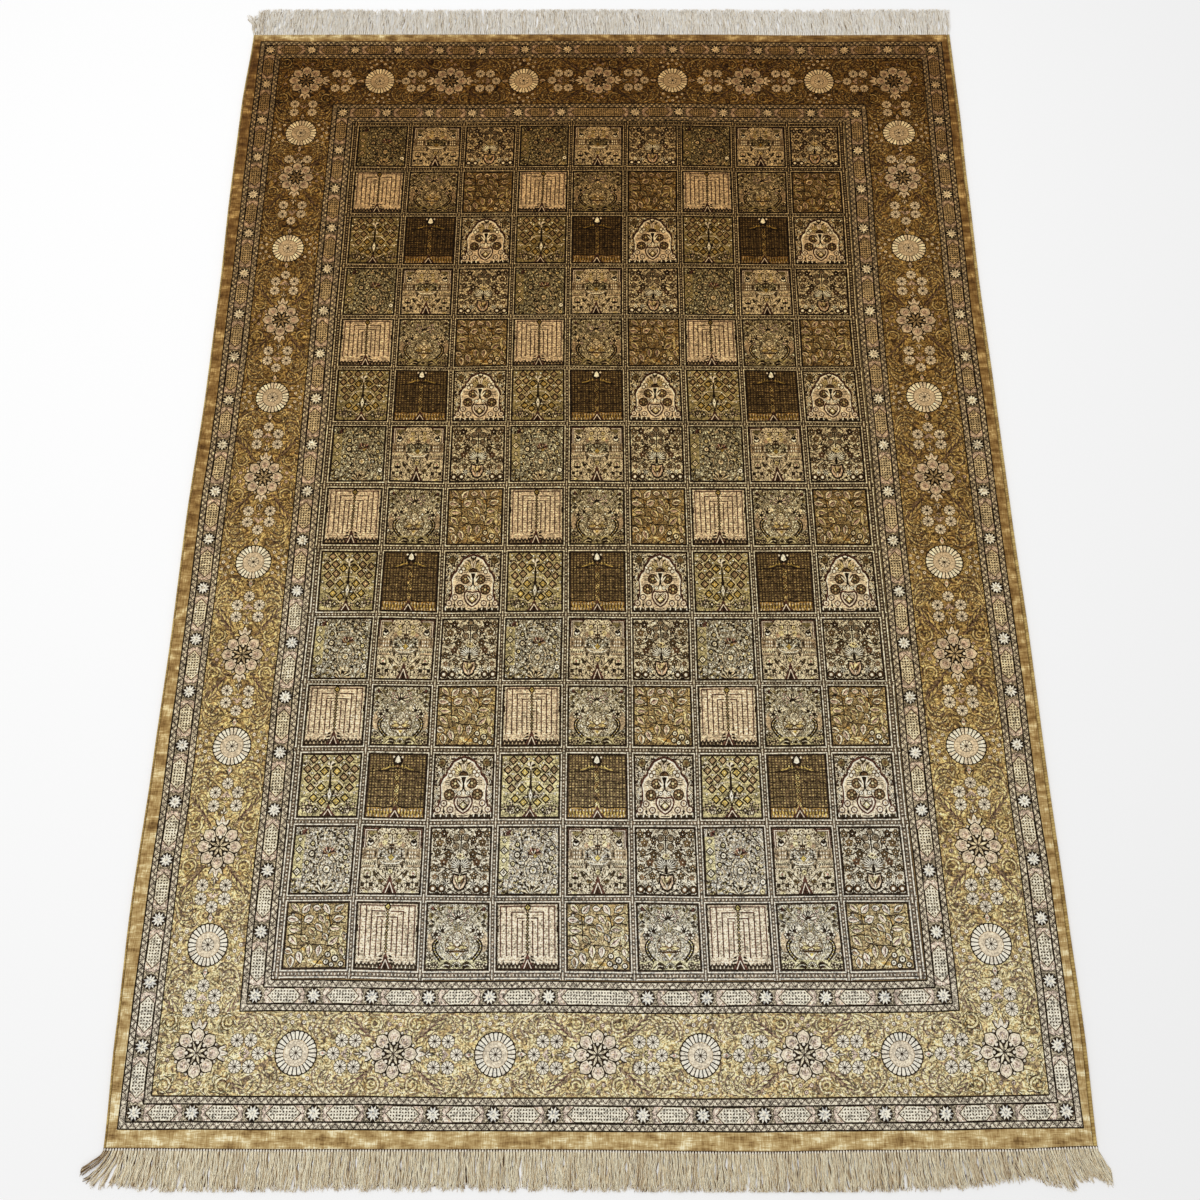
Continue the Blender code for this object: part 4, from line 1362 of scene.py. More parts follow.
def panel_thicket():
    """H: a dark thicket woven as a close grid, over a band of tufts."""
    d = panel("thatch", 8)
    x = PANEL_AXIS
    since = len(d.shapes)
    for y in (27.5, 42.5, 52.5, 66.5):
        d.stroke("outline", [(4, y + 1), (24, y - 0.4), (44, y + 0.4)], 1.1)
    for px in (7.3, 19.7, 34.4):
        d.box("outline", px - 0.5, 18, px + 0.5, 82)
    d.strokes((("outline", [(x, 22.8), (x - 10, 24), (x - 22, 27), (x - 36, 27)], 1.9),
               ("yellow", [(x - 3, 19.6), (x - 12, 20.2), (x - 17, 23.0), (x - 26, 25)], 1.9, 1.2)))
    for k in range(3):
        d.leaf("outline", x - 5 - 5 * k, 20.8, -90, 5.2, 3.0)
        d.diamond("gold_light", x - 7.5 - 5 * k, 18.4, 1.1, 1.5)
    d.box("amber", 2.4, 82.5, x, 97)
    for k in range(9):
        px = 4.2 + 5.0 * k
        d.leaves((("brown", px, 97, -96, 15, 2.6), ("yellow", px + 1.4, 95, -86, 12, 2.2),
                  ("dots", px + 2.4, 88.5, -90, 5.6, 2.1), ("sward", px + 0.2, 97, -90, 5.0, 1.9)))
    d.stroke("outline", [(2.4, 82.0), (20, 81.4), (34, 82.6), (x, 77)], 1.9)
    d.mirror(since, x)
    d.stroke("umber", [(x, 24), (x, 80)], 7.0)
    for k in range(6):
        y = 28 + 9.6 * k
        d.diamonds(x, y, (("outline", 4.8, 5.0), ("gold_light" if k % 2 else "umber", 3.2, 3.4),
                          ("guard_dark", 1.6, 1.8)))
    d.disc("outline", x, 10.5, 8.8, 10)
    d.shape("white", ((x, 2.6), (x + 2.8, 6), (x + 4.4, 12.5), (x, 14.6), (x - 4.4, 12.5), (x - 2.8, 6)))
    for way in (-1, 1):
        d.diamond("petal", x + way * 7.0, 5.0, 2.0, 2.0)
    d.ringed(x, 19.4, 3.8, "outline", "brown", "tan", 8)
    d.shape("umber", ((x, 73), (x + 9, 97), (x - 9, 97)))
    d.shape("tan", ((x, 76), (x + 6.4, 97), (x - 6.4, 97)))
    root(d, 79, 12.0)
    return framed(d)


def panel_niche():
    """I: a cusped niche over a heart-shaped vase with four round flowers."""
    d = panel("leafy", 9)
    x = PANEL_AXIS + 0.5
    since = len(d.shapes)
    d.discs(12.5, 13.5, (("outline", 7.0, 10), ("olive", 5.8, 10), ("brown", 3.0, 8)))
    d.ring(12.5, 13.5, 4.2, 6, (("tan", 1.0, 5),))
    d.stroke("outline", [(12.5, 20), (13.5, 30)], 1.5)
    for px, py, angle in ((24, 8, 200), (30, 5, 10), (22, 14, 60), (6, 26, 40), (14, 28, 130), (6, 40, 80),
                          (10, 50, 120), (5, 60, 70), (9, 34, -30), (33, 10, 120), (4, 6, 40),
                          (5, 70, -60)):
        sickle(d, px, py, angle, 7.5, 3.2, 1.2, "white")
    niche = smoothed([(x, 2.6), (37.0, 6.6), (29.4, 10.6), (25.4, 17.6), (20.8, 22.4), (19.2, 30.0),
                      (14.0, 34.6), (10.0, 44.0), (11.6, 56.0), (11.4, 68.0), (7.6, 80.0), (2.6, 89.0)], 1)
    d.shape("bark", niche + [(2.6, 97), (x, 97)])
    inner = [(min(px + 2.5, x - 0.6), py + 2.7) for px, py in niche[:-1]]
    inner[0] = (x, 6.4)
    d.shape("white", inner + [(2.6, 91.4), (2.6, 97), (x, 97)])
    deeper = [(min(px + 1.6, x - 0.5), py + 1.8) for px, py in inner]
    deeper[0] = (x, 9.0)
    d.shape("ivory", deeper + [(2.6, 93), (2.6, 97), (x, 97)])
    for px, py, angle in ((41, 14, -150), (44, 11, -120), (39, 18, 170), (43, 17, -165), (46, 14, -100)):
        d.leaf("slate" if px % 2 else "leaf_dark", px + 3, py + 3, angle, 8.6, 3.6)
    for angle, long in ((-100, 19), (-114, 20), (-128, 20), (-142, 20), (-156, 20), (-170, 18)):
        foot = spot(x, 35, angle, 7)
        d.leaf("brown", *foot, angle, long * 0.84, 4.6)
        d.leaf(("cream", "petal", "straw")[long % 3], *spot(x, 35, angle, 8.2), angle, long * 0.66,
               3.0)
    for px, py, size in ((27, 33, 4.2), (24.5, 27, 3.4), (31.5, 28, 3.8)):
        d.discs(px, py, (("brown", size, 8), ("white", size * 0.64, 6)))
    for py in (41.4, 44.4, 47.4):
        d.stroke("outline", [(19, py), (24, py - 0.6), (29, py + 1)], 1.2)
    for px, py, size in ((35, 45.4, 8.6), (26.2, 62.4, 9.0)):
        d.discs(px, py, (("outline", size, 14), ("brown", size * 0.86, 12)))
        for k in range(6):
            d.leaf("leaf_dark", px, py, 60 * k, size * 0.8, 2.6)
            d.disc("tan", *spot(px, py, 60 * k + 30, size * 0.56), 1.5, 6)
        d.disc("straw", px, py, 2.2, 6)
    d.stroke("outline", [(x, 54), (42, 59), (36, 65.4)], 2.0)
    d.leaf("white", x - 1, 52, 232, 15, 2.4)
    d.ringed(41.5, 60, 3.8, "outline", "white", "outline", 8)
    d.ringed(35.6, 57.4, 2.8, "outline", "white", "outline", 8)
    heart = [(x, 66.0), (36.0, 64.4), (32.8, 71), (33.4, 78), (38.8, 87.0), (x, 92.4)]
    d.shape("bark", smoothed(heart, 2))
    d.shape("petal", smoothed([(x, 68.6), (38.2, 67.0), (35.4, 72), (36.0, 77.6), (40.8, 85), (x, 89.8)], 2))
    d.shape("bark", smoothed([(x, 70.4), (39.6, 69.4), (37.6, 73), (38.2, 77.4), (42, 83.2), (x, 87.4)], 2))
    d.shape("ivory", smoothed([(x, 72.0), (41.0, 71.0), (39.6, 73.6), (40.2, 77), (43.4, 81.8), (x, 85.4)],
                              2))
    d.ringed(42.0, 70.6, 3.3, "outline", "petal", "outline", 8)
    for px, py, size in ((18.2, 75.6, 5.6), (8.8, 85, 5.6), (28.0, 85.2, 5.6)):
        d.discs(px, py, (("bark", size, 10), ("petal", size * 0.68, 10), ("tan", size * 0.34, 6)))
    d.stroke("outline", [(18.2, 81), (18.6, 90), (24, 94)], 1.3)
    d.diamond("outline", 18.4, 88, 2.2, 3.8)
    d.shape("slate", ((2.4, 97), (2.4, 92), (8, 93), (14, 91.6), (20, 94), (28, 91.4), (36, 93.4), (40, 97)))
    for k in range(8):
        d.leaf("outline" if k % 2 else "white", 4 + 4.6 * k, 97, -90 + 12 * (k % 3 - 1), 6.4, 2.2)
    d.mirror(since, x)
    d.shape("outline", ((x - 8, 34), (x - 6, 28.8), (x, 26.0), (x + 6, 28.8), (x + 8, 34)))
    d.shape("brown", ((x - 5.6, 33), (x - 4.4, 30.0), (x, 28.2), (x + 4.4, 30.0), (x + 5.6, 33)))
    d.shape("white", ((x - 6.4, 34.6), (x + 6.4, 34.6), (x + 1.8, 48), (x - 1.8, 48)))
    d.shape("outline", ((x - 4.0, 36), (x, 35.2), (x + 4.0, 36), (x + 1.2, 46), (x + 2.2, 54), (x - 2.2, 54),
                        (x - 1.2, 46)))
    d.leaf("white", x, 65, -90, 11, 3.4)
    d.diamonds(x, 78.6, (("outline", 7.4, 7.4), ("straw", 5.2, 5.2)))
    d.diamond("white", x, 78, 2.6, 2.6)
    d.stroke("outline", [(x - 7, 94.0), (x, 95.0), (x + 7, 94.0)], 1.5)
    return framed(d)


PANELS = {
    "A": ("wreath", panel_wreath),
    "B": ("candelabra", panel_candelabra),
    "C": ("grove", panel_grove),
    "D": ("arbour", panel_arbour),
    "E": ("vase", panel_vase),
    "F": ("pods", panel_pods),
    "G": ("lozenges", panel_lozenges),
    "H": ("thicket", panel_thicket),
    "I": ("niche", panel_niche),
}


def lattice_strip():
    """The chain of dashes and beads that runs between two panels."""
    return Drawing("chain", PANEL_WIDE, LATTICE_DEEP, kind=STRIP_KIND).cut()


def lattice_knot():
    """The crossing of two chains."""
    return Drawing("chain", LATTICE_DEEP, LATTICE_DEEP, kind=KNOT_KIND).cut()


def across_band(start, edge, way, wide=1.0, deep=1.0):
    """Places a drawing that runs across the rug from start, with its outer edge on a line along the rug."""
    return lambda x, y: (start + x * wide, edge + way * y * deep)


def along_band(start, edge, way, wide=1.0, deep=1.0):
    """Places a drawing that runs along the rug from start, with its outer edge on a line across the rug."""
    return lambda x, y: (edge + way * y * deep, start + x * wide)


def evenly(start, end, count):
    """Places from start to end, in count equal steps."""
    return [start + (end - start) * k / count for k in range(count + 1)]


patterns = {}


def pattern(maker, *sizes):
    """A cut drawing, made once for each set of sizes."""
    key = (maker.__name__, *(round(size, 1) for size in sizes))
    if key not in patterns:
        patterns[key] = maker(*key[1:])
    return patterns[key]


# Where the guards' rosettes are, along the ends from the left and along the sides from the far end
ROSETTE_IN = 21.65        # from a guard's outer edge to its rosettes
LONG_UNIT = 1.25          # a unit stretched more than this is drawn anew
OUTER_ROSETTE = OUTER_GUARD[0] + ROSETTE_IN
END_ROSETTES = [OUTER_ROSETTE, 119.0, 205.0, 292.0, 377.0, 461.0, 548.0, 634.0] + evenly(760.5, 1364.15, 7)
INNER_END_ROSETTES = [193.25, 279.0, 364.0, 449.0, 538.0, 624.4] + evenly(770.0, 1205.35, 5)
SIDE_ROSETTES = evenly(35.15, 1958.35, 22)
INNER_SIDE_ROSETTES = evenly(191.15, 1802.85, 18)


def lay_guard(name, rosettes, place, edge, way, material):
    """One side of a guard, in pieces of two units."""
    last = len(rosettes) - 2
    cut_in = GUARD_DEEP - ROSETTE_IN
    for k, (start, end) in enumerate(zip(rosettes, rosettes[1:])):
        if k % 2 == 0:
            piece = Piece(f"{name}_{k // 2 + 1:02d}")
        length = end - start
        if k == 0:
            piece.stamp(pattern(guard_unit, length, cut_in), place(start, edge, way))
        elif k == last:
            piece.stamp(pattern(guard_unit, length, cut_in), place(end, edge, way, -1.0))
        elif length > LONG_UNIT * GUARD_UNIT:
            piece.stamp(pattern(guard_unit, length), place(start, edge, way))
        else:
            piece.stamp(pattern(guard_unit), place(start, edge, way, length / GUARD_UNIT))
        if k % 2 == 1 or k == last:
            piece.build(material)


def lay_guards(material):
    """The outer and the inner guard, with their corners."""
    for name, edges, ends, sides in (("guard_outer", OUTER_GUARD, END_ROSETTES, SIDE_ROSETTES),
                                     ("guard_inner", INNER_GUARD, INNER_END_ROSETTES, INNER_SIDE_ROSETTES)):
        left, right, far, near = edges
        lay_guard(f"{name}_far", ends, across_band, far, 1, material)
        lay_guard(f"{name}_near", ends, across_band, near, -1, material)
        lay_guard(f"{name}_left", sides, along_band, left, 1, material)
        lay_guard(f"{name}_right", sides, along_band, right, -1, material)
        for corner, x, way_x in (("left", left, 1), ("right", right, -1)):
            for end, y, way_y in (("far", far, 1), ("near", near, -1)):
                piece = Piece(f"{name}_corner_{end}_{corner}")
                piece.stamp(pattern(guard_corner), across_band(x, y, way_y, way_x))
                piece.build(material)


# Where the border's medallions and roundels are, along the sides and across the ends
SIDE_MEDALLIONS = (112.75, 345.0, 659.0, 970.5, 1285.0, 1589.0, 1880.0)
SIDE_ROUNDELS = (240.0, 504.5, 816.0, 1126.0, 1435.0, 1732.0)
END_MEDALLIONS = (115.2, 401.0, 697.0, 995.0, 1284.4)
END_ROUNDELS = (260.0, 548.0, 845.0, 1137.0)
SHORT_CELL, MIDDLE_CELL = 112.0, 130.0    # shorter cells have fewer rosettes


def lay_border(material):
    """The main border: a piece from each medallion to the next roundel, and a square at each corner."""
    left, right, far, near = BORDER
    inner_left, inner_right, inner_far, inner_near = INNER_GUARD
    middles = {"left": (left + inner_left) / 2, "right": (right + inner_right) / 2,
               "far": (far + inner_far) / 2, "near": (near + inner_near) / 2}
    halves = {"left": (inner_left - left) / 2, "right": (right - inner_right) / 2,
              "far": (inner_far - far) / 2, "near": (near - inner_near) / 2}
    for side in ("left", "right", "far", "near"):
        along = side in ("left", "right")
        place = along_band if along else across_band
        medallions = list(SIDE_MEDALLIONS if along else END_MEDALLIONS)
        roundels = SIDE_ROUNDELS if along else END_ROUNDELS
        first, last = ("far", "near") if along else ("left", "right")
        medallions[0], medallions[-1] = middles[first], middles[last]
        stretch = halves[side] / BORDER_HALF
        corners = {medallions[0]: halves[first], medallions[-1]: halves[last]}
        for k, roundel_at in enumerate(roundels):
            for half, at in (("a", medallions[k]), ("b", medallions[k + 1])):
                length, way = abs(roundel_at - at), 1.0 if roundel_at > at else -1.0
                start = corners.get(at, 0.0)
                pairs = 1 if length < SHORT_CELL else 2
                single = int(length >= SHORT_CELL and not (length < MIDDLE_CELL and start))
                cut = pattern(border_half, length, start, pairs, single)
                piece = Piece(f"border_{side}_{k + 1}{half}")
                for flip in (-1, 1):
                    piece.stamp(cut, place(at, middles[side], flip, way, stretch))
                piece.build(material)
    for x_name, way_x in (("left", -1), ("right", 1)):
        for y_name, way_y in (("far", -1), ("near", 1)):
            piece = Piece(f"border_corner_{y_name}_{x_name}")
            for flip_x in (-1, 1):
                for flip_y in (-1, 1):
                    piece.stamp(pattern(border_corner, int(flip_x != way_x), int(flip_y != way_y)),
                                across_band(middles[x_name], middles[y_name],
                                            flip_y * halves[y_name] / BORDER_HALF,
                                            flip_x * halves[x_name] / BORDER_HALF))
            piece.build(material)


def lay_field(material):
    """The garden panels, each with the lattice below it and to its right."""
    for row, (top, low) in enumerate(PANEL_ROWS):
        kinds = LAST_ROW if row == len(PANEL_ROWS) - 1 else ROW_KINDS[row % 3] * 3
        below = PANEL_ROWS[row + 1][0] if row + 1 < len(PANEL_ROWS) else LATTICE[3]
        for column in range(COLUMNS):
            word, maker = PANELS[kinds[column]]
            left = PANEL_LEFT + PANEL_PITCH * column
            right = left + PANEL_WIDE
            after = left + PANEL_PITCH if column + 1 < COLUMNS else LATTICE[1]
            piece = Piece(f"panel_{row + 1:02d}_{column + 1}_{word}")
            piece.stamp(pattern(maker), across_band(left, top, 1, 1.0, (low - top) / PANEL_HIGH))
            beside, levels = [(right, after)], [(low, below)]
            if column == 0:
                beside.append((LATTICE[0], left))
            if row == 0:
                levels.append((LATTICE[2], top))
            for start, end in beside:
                piece.stamp(pattern(lattice_strip), along_band(top, start, 1, (low - top) / PANEL_WIDE,
                                                               (end - start) / LATTICE_DEEP))
            for start, end in levels:
                deep = (end - start) / LATTICE_DEEP
                piece.stamp(pattern(lattice_strip), across_band(left, start, 1, 1.0, deep))
                for first, last in beside:
                    piece.stamp(pattern(lattice_knot),
                                across_band(first, start, 1, (last - first) / LATTICE_DEEP, deep))
            piece.build(material)


# The plain gold band round the edge, which rolls down over the side
# columns: millimetres in from the edge, height in millimetres
BAND_SKIRT = ((1.6, 5.0), (0.7, 4.85), (0.2, 4.4), (0.0, 3.7), (0.0, 0.2))
BAND_STEP = 6.0
BAND_PIECE = 250.0        # about as long as each piece of it is
BAND_ROWS = 4             # of faces from its inner edge to the skirt


def lay_bands(material):
    """The plain band along each edge, in short pieces that meet on the corners' diagonals."""
    edge_left, edge_right = (LEFT_CORD + GAP) / MM, PLAN_WIDTH - (RIGHT_CORD + GAP) / MM
    left, right, far, near = OUTER_GUARD
    corners = {"far": ((edge_left, 0, left, far), (edge_right, 0, right, far)),
               "near": ((edge_left, PLAN_LENGTH, left, near), (edge_right, PLAN_LENGTH, right, near)),
               "left": ((edge_left, 0, left, far), (edge_left, PLAN_LENGTH, left, near)),
               "right": ((edge_right, 0, right, far), (edge_right, PLAN_LENGTH, right, near))}
    outward = {"far": (0, -1), "near": (0, 1), "left": (-1, 0), "right": (1, 0)}
    for side, (start, end) in corners.items():
        start, end = np.array(start, float), np.array(end, float)
        long = np.abs(end - start)[:2].max()
        count = round(long / BAND_PIECE)
        for k in range(count):
            steps = math.ceil(long / count / BAND_STEP)
            share = np.linspace(k / count, (k + 1) / count, steps + 1)[:, None]
            ends = start + (end - start) * share
            outer, inner = ends[:, :2], ends[:, 2:]
            add_band(f"band_{side}_{k + 1}", outer, inner, np.array(outward[side], float), material)


def add_band(name, outer, inner, outward, material):
    """A stretch of the plain band from its inner edge to where it meets the ground."""
    deep = np.abs((outer - inner) @ outward).max()
    insets = [deep * (1 - k / BAND_ROWS) for k in range(BAND_ROWS)]
    rows = [(inset, PILE_THICK / MM)
            for inset in insets if inset > 1.5 * BAND_SKIRT[0][0]] + list(BAND_SKIRT)
    plan = np.concatenate([inner + (outer - inner) * (1 - inset / deep) for inset, _ in rows])
    heights = np.repeat([height * MM for _, height in rows], len(outer))
    x, y = frame_place(*handmade(plan[:, 0], plan[:, 1]))
    count = len(outer)
    corner = np.arange((len(rows) - 1) * count).reshape(-1, count)[:, :-1].ravel()
    squares = np.stack([corner, corner + 1, corner + count + 1, corner + count], 1)
    triangles = np.concatenate([squares[:, [0, 1, 2]], squares[:, [0, 2, 3]]])
    a, b, c = (np.stack([x, y], 1)[triangles[0, k]] for k in range(3))
    if (b[0] - a[0]) * (c[1] - a[1]) - (b[1] - a[1]) * (c[0] - a[0]) < 0:
        triangles = triangles[:, ::-1]
    mesh = mesh_of(name, np.stack([x, y, heights], 1), triangles)
    add_values(mesh, "painted_sheen", "FLOAT", "POINT", painted_sheen(plan[:, 0], plan[:, 1]))
    mesh.shade_smooth()
    drop = np.repeat([sum(abs(rows[j][1] - rows[j + 1][1]) for j in range(k)) for k in range(len(rows))],
                     count)
    flat = plan + drop[:, None] * outward
    add_flat_map(mesh, flat)
    mesh.materials.append(material)
    return add_object(name, mesh)


# The base of the rug is the foundation under the pile, which shows from below
BASE_TOP = 0.0046
BASE_INSET = 0.0004
BASE_POINTS = (29, 41)    # across and along


def lay_base(material):
    """The woven foundation, one closed flat sheet under the pile."""
    left, right = -HALF_WIDTH + LEFT_CORD + GAP + BASE_INSET, HALF_WIDTH - RIGHT_CORD - GAP - BASE_INSET
    far = HALF_LENGTH - BASE_INSET
    wide, long = BASE_POINTS
    x, y = np.meshgrid(np.linspace(left, right, wide), np.linspace(-far, far, long))
    x, y = lay(x.ravel(), y.ravel())
    index = np.arange(wide * long).reshape(long, wide)
    a, b, c, d = (part.ravel() for part in (index[:-1, :-1], index[:-1, 1:], index[1:, 1:], index[1:, :-1]))
    top = np.concatenate([np.stack([a, b, c], 1), np.stack([a, c, d], 1)])
    rim = np.concatenate([index[0, :-1], index[:-1, -1], index[-1, :0:-1], index[:0:-1, 0]])
    after = np.roll(rim, -1)
    under = wide * long
    wall = np.concatenate([np.stack([rim + under, after + under, after], 1),
                           np.stack([rim + under, after, rim], 1)])
    corners = np.concatenate([np.stack([x, y, np.full_like(x, BASE_TOP)], 1),
                              np.stack([x, y, np.zeros_like(x)], 1)])
    mesh = mesh_of("foundation", corners, np.concatenate([top, top[:, ::-1] + under, wall]))
    add_flat_map(mesh, corners[:, :2])
    mesh.materials.append(material)
    return add_object("foundation", mesh)


def tube_of(name, rings, tones, caps=True):
    """A mesh of one or more tubes; rings is an array of tubes, stations, points round and x, y, z."""
    tubes, stations, around = rings.shape[:3]
    index = np.arange(tubes * stations * around).reshape(tubes, stations, around)
    a, b = index[:, :-1], index[:, 1:]
    squares = np.stack([a, np.roll(a, -1, 2), np.roll(b, -1, 2), b], -1).reshape(-1, 4)
    triangles = [squares[:, [0, 1, 2]], squares[:, [0, 2, 3]]]
    if caps:
        for end, flip in ((index[:, 0], True), (index[:, -1], False)):
            for k in range(1, around - 1):
                fan = np.stack([end[:, 0], end[:, k], end[:, k + 1]], 1)
                triangles.append(fan[:, ::-1] if flip else fan)
    corners = rings.reshape(-1, 3)
    mesh = mesh_of(name, corners, np.concatenate(triangles))
    add_values(mesh, "tone", "FLOAT", "POINT", tones)
    add_flat_map(mesh, corners[:, :2])
    mesh.shade_smooth()
    return mesh


# Overcast sides, in metres
RIB_PITCH = 0.0042
RIB_STATIONS = 4          # for each rib
CORD_POINTS = 6
CORD_LOW = 0.0004
CORD_HIGH = 0.0043


def lay_selvedge(name, middle, width, depth, material):
    """An overcast side: a low cord wrapped with slanting turns of yarn."""
    ribs = round(2 * HALF_LENGTH / RIB_PITCH)
    y = np.linspace(-HALF_LENGTH, HALF_LENGTH, ribs * RIB_STATIONS + 1)[:, None]
    angle = np.linspace(math.pi, 0, CORD_POINTS)[None, :]
    pick = np.random.default_rng(SEED)
    turn = y * ribs / (2 * HALF_LENGTH) + 0.35 * angle / math.pi
    ridge = np.abs(np.sin(math.pi * turn)) ** 0.6
    rib = np.clip(np.floor(turn).astype(int) - int(np.floor(turn.min())), 0, ribs + 1)
    loose = pick.uniform(-1, 1, ribs + 2)[rib]
    swell = 1 - depth * (1 - ridge) + 0.04 * loose
    x = middle + width / 2 * np.cos(angle) * (0.94 + 0.06 * swell)
    height = CORD_LOW + CORD_HIGH * np.sin(angle) ** 0.7 * swell
    x, y = np.broadcast_arrays(x, y)
    x, y = lay(x.ravel(), y.ravel())
    rings = np.stack([x.reshape(height.shape), y.reshape(height.shape), height], -1)
    # Painted shade: lighter on the crests of the turns and darker in the grooves between them, with a random
    # tone for each turn
    tones = 0.5 + 0.28 * (ridge - 0.6) + 0.12 * loose
    mesh = tube_of(name, rings[None], tones)
    mesh.materials.append(material)
    return add_object(name, mesh)


# Rows of knots, in metres
KNOT_PITCH = 0.0040
KNOT_HALF_WIDE, KNOT_HALF_DEEP = 0.00132, 0.0021
KNOT_SIDES = 6
KNOT_SHAPE = ((0.82, 0.0), (1.0, 0.0013), (0.92, 0.0026), (0.6, 0.0035), (0.0001, 0.0038))   # reach, height


def lay_knots(name, side, material):
    """A row of wrapped knots; side is -1 for the near end and 1 for the far one."""
    pick = np.random.default_rng(SEED + 10 + side)
    count = round(2 * HALF_WIDTH / KNOT_PITCH)
    x = (np.arange(count) + 0.5) * KNOT_PITCH - HALF_WIDTH
    y = side * (HALF_LENGTH + GAP + KNOTS_DEEP / 2) + pick.uniform(-0.0002, 0.0002, count)
    wide = KNOT_HALF_WIDE + pick.uniform(-0.00015, 0.0002, count)
    angle = np.arange(KNOT_SIDES) * FULL_TURN / KNOT_SIDES
    rings = []
    for reach, height in KNOT_SHAPE:
        px = x[:, None] + wide[:, None] * reach * np.cos(angle)
        py = y[:, None] + KNOT_HALF_DEEP * reach * np.sin(angle)
        px, py = lay(px.ravel(), py.ravel())
        rings.append(np.stack([px, py, np.full_like(px, height)], 1).reshape(count, KNOT_SIDES, 3))
    rings = np.stack(rings, 1)
    tones = np.broadcast_to(0.7 + pick.uniform(-0.2, 0.2, count)[:, None, None], rings.shape[:3])
    mesh = tube_of(name, rings, tones, caps=False)
    mesh.materials.append(material)
    return add_object(name, mesh)


# The dark strip between the knots: the warp under them, and painted shadow in the gaps. Columns: depth from
# the pile's end, height
GAP_SHAPE = ((0.0001, 0.0003), (0.0001, 0.0022), (0.0026, 0.0018), (0.0026, 0.0003))
GAP_POINTS = 201


def lay_gap(name, side, material):
    """The dark strip between the knots: the warp that goes under them, darkened as painted shadow in the
    gaps.
    """
    x = np.linspace(-HALF_WIDTH, HALF_WIDTH, GAP_POINTS)
    rings = []
    for depth, height in GAP_SHAPE:
        px, py = lay(x, np.full_like(x, side * (HALF_LENGTH + GAP + depth)))
        rings.append(np.stack([px, py, np.full_like(px, height)], 1))
    rings = np.stack(rings, 1)[None]
    # tone 0, the darkest yarn: painted shadow in the gaps
    mesh = tube_of(name, rings, np.zeros(rings.shape[:3]))
    mesh.materials.append(material)
    return add_object(name, mesh)


# Fringes, in metres
# The middle strand of each tassel is a painted shadow: flat, wide, darker and below the rest
STRANDS = 7               # in each tassel, the middle one flat, wide and below the rest
STRAND_RADIUS = 0.00052
STRAND_START = 0.0016     # beyond the pile's end
STRAND_HEIGHT = 0.0016
SHADOW_STRAND_WIDER = 4.6
SHADOW_STRAND_LENGTH = 0.93  # as a share of the others'
STRAND_STATIONS = 9
STRAND_SIDES = 3
DIM_FROM, DIM_RUN = -0.682, 0.012     # where the tassels at the left corner get dimmer, and over how far


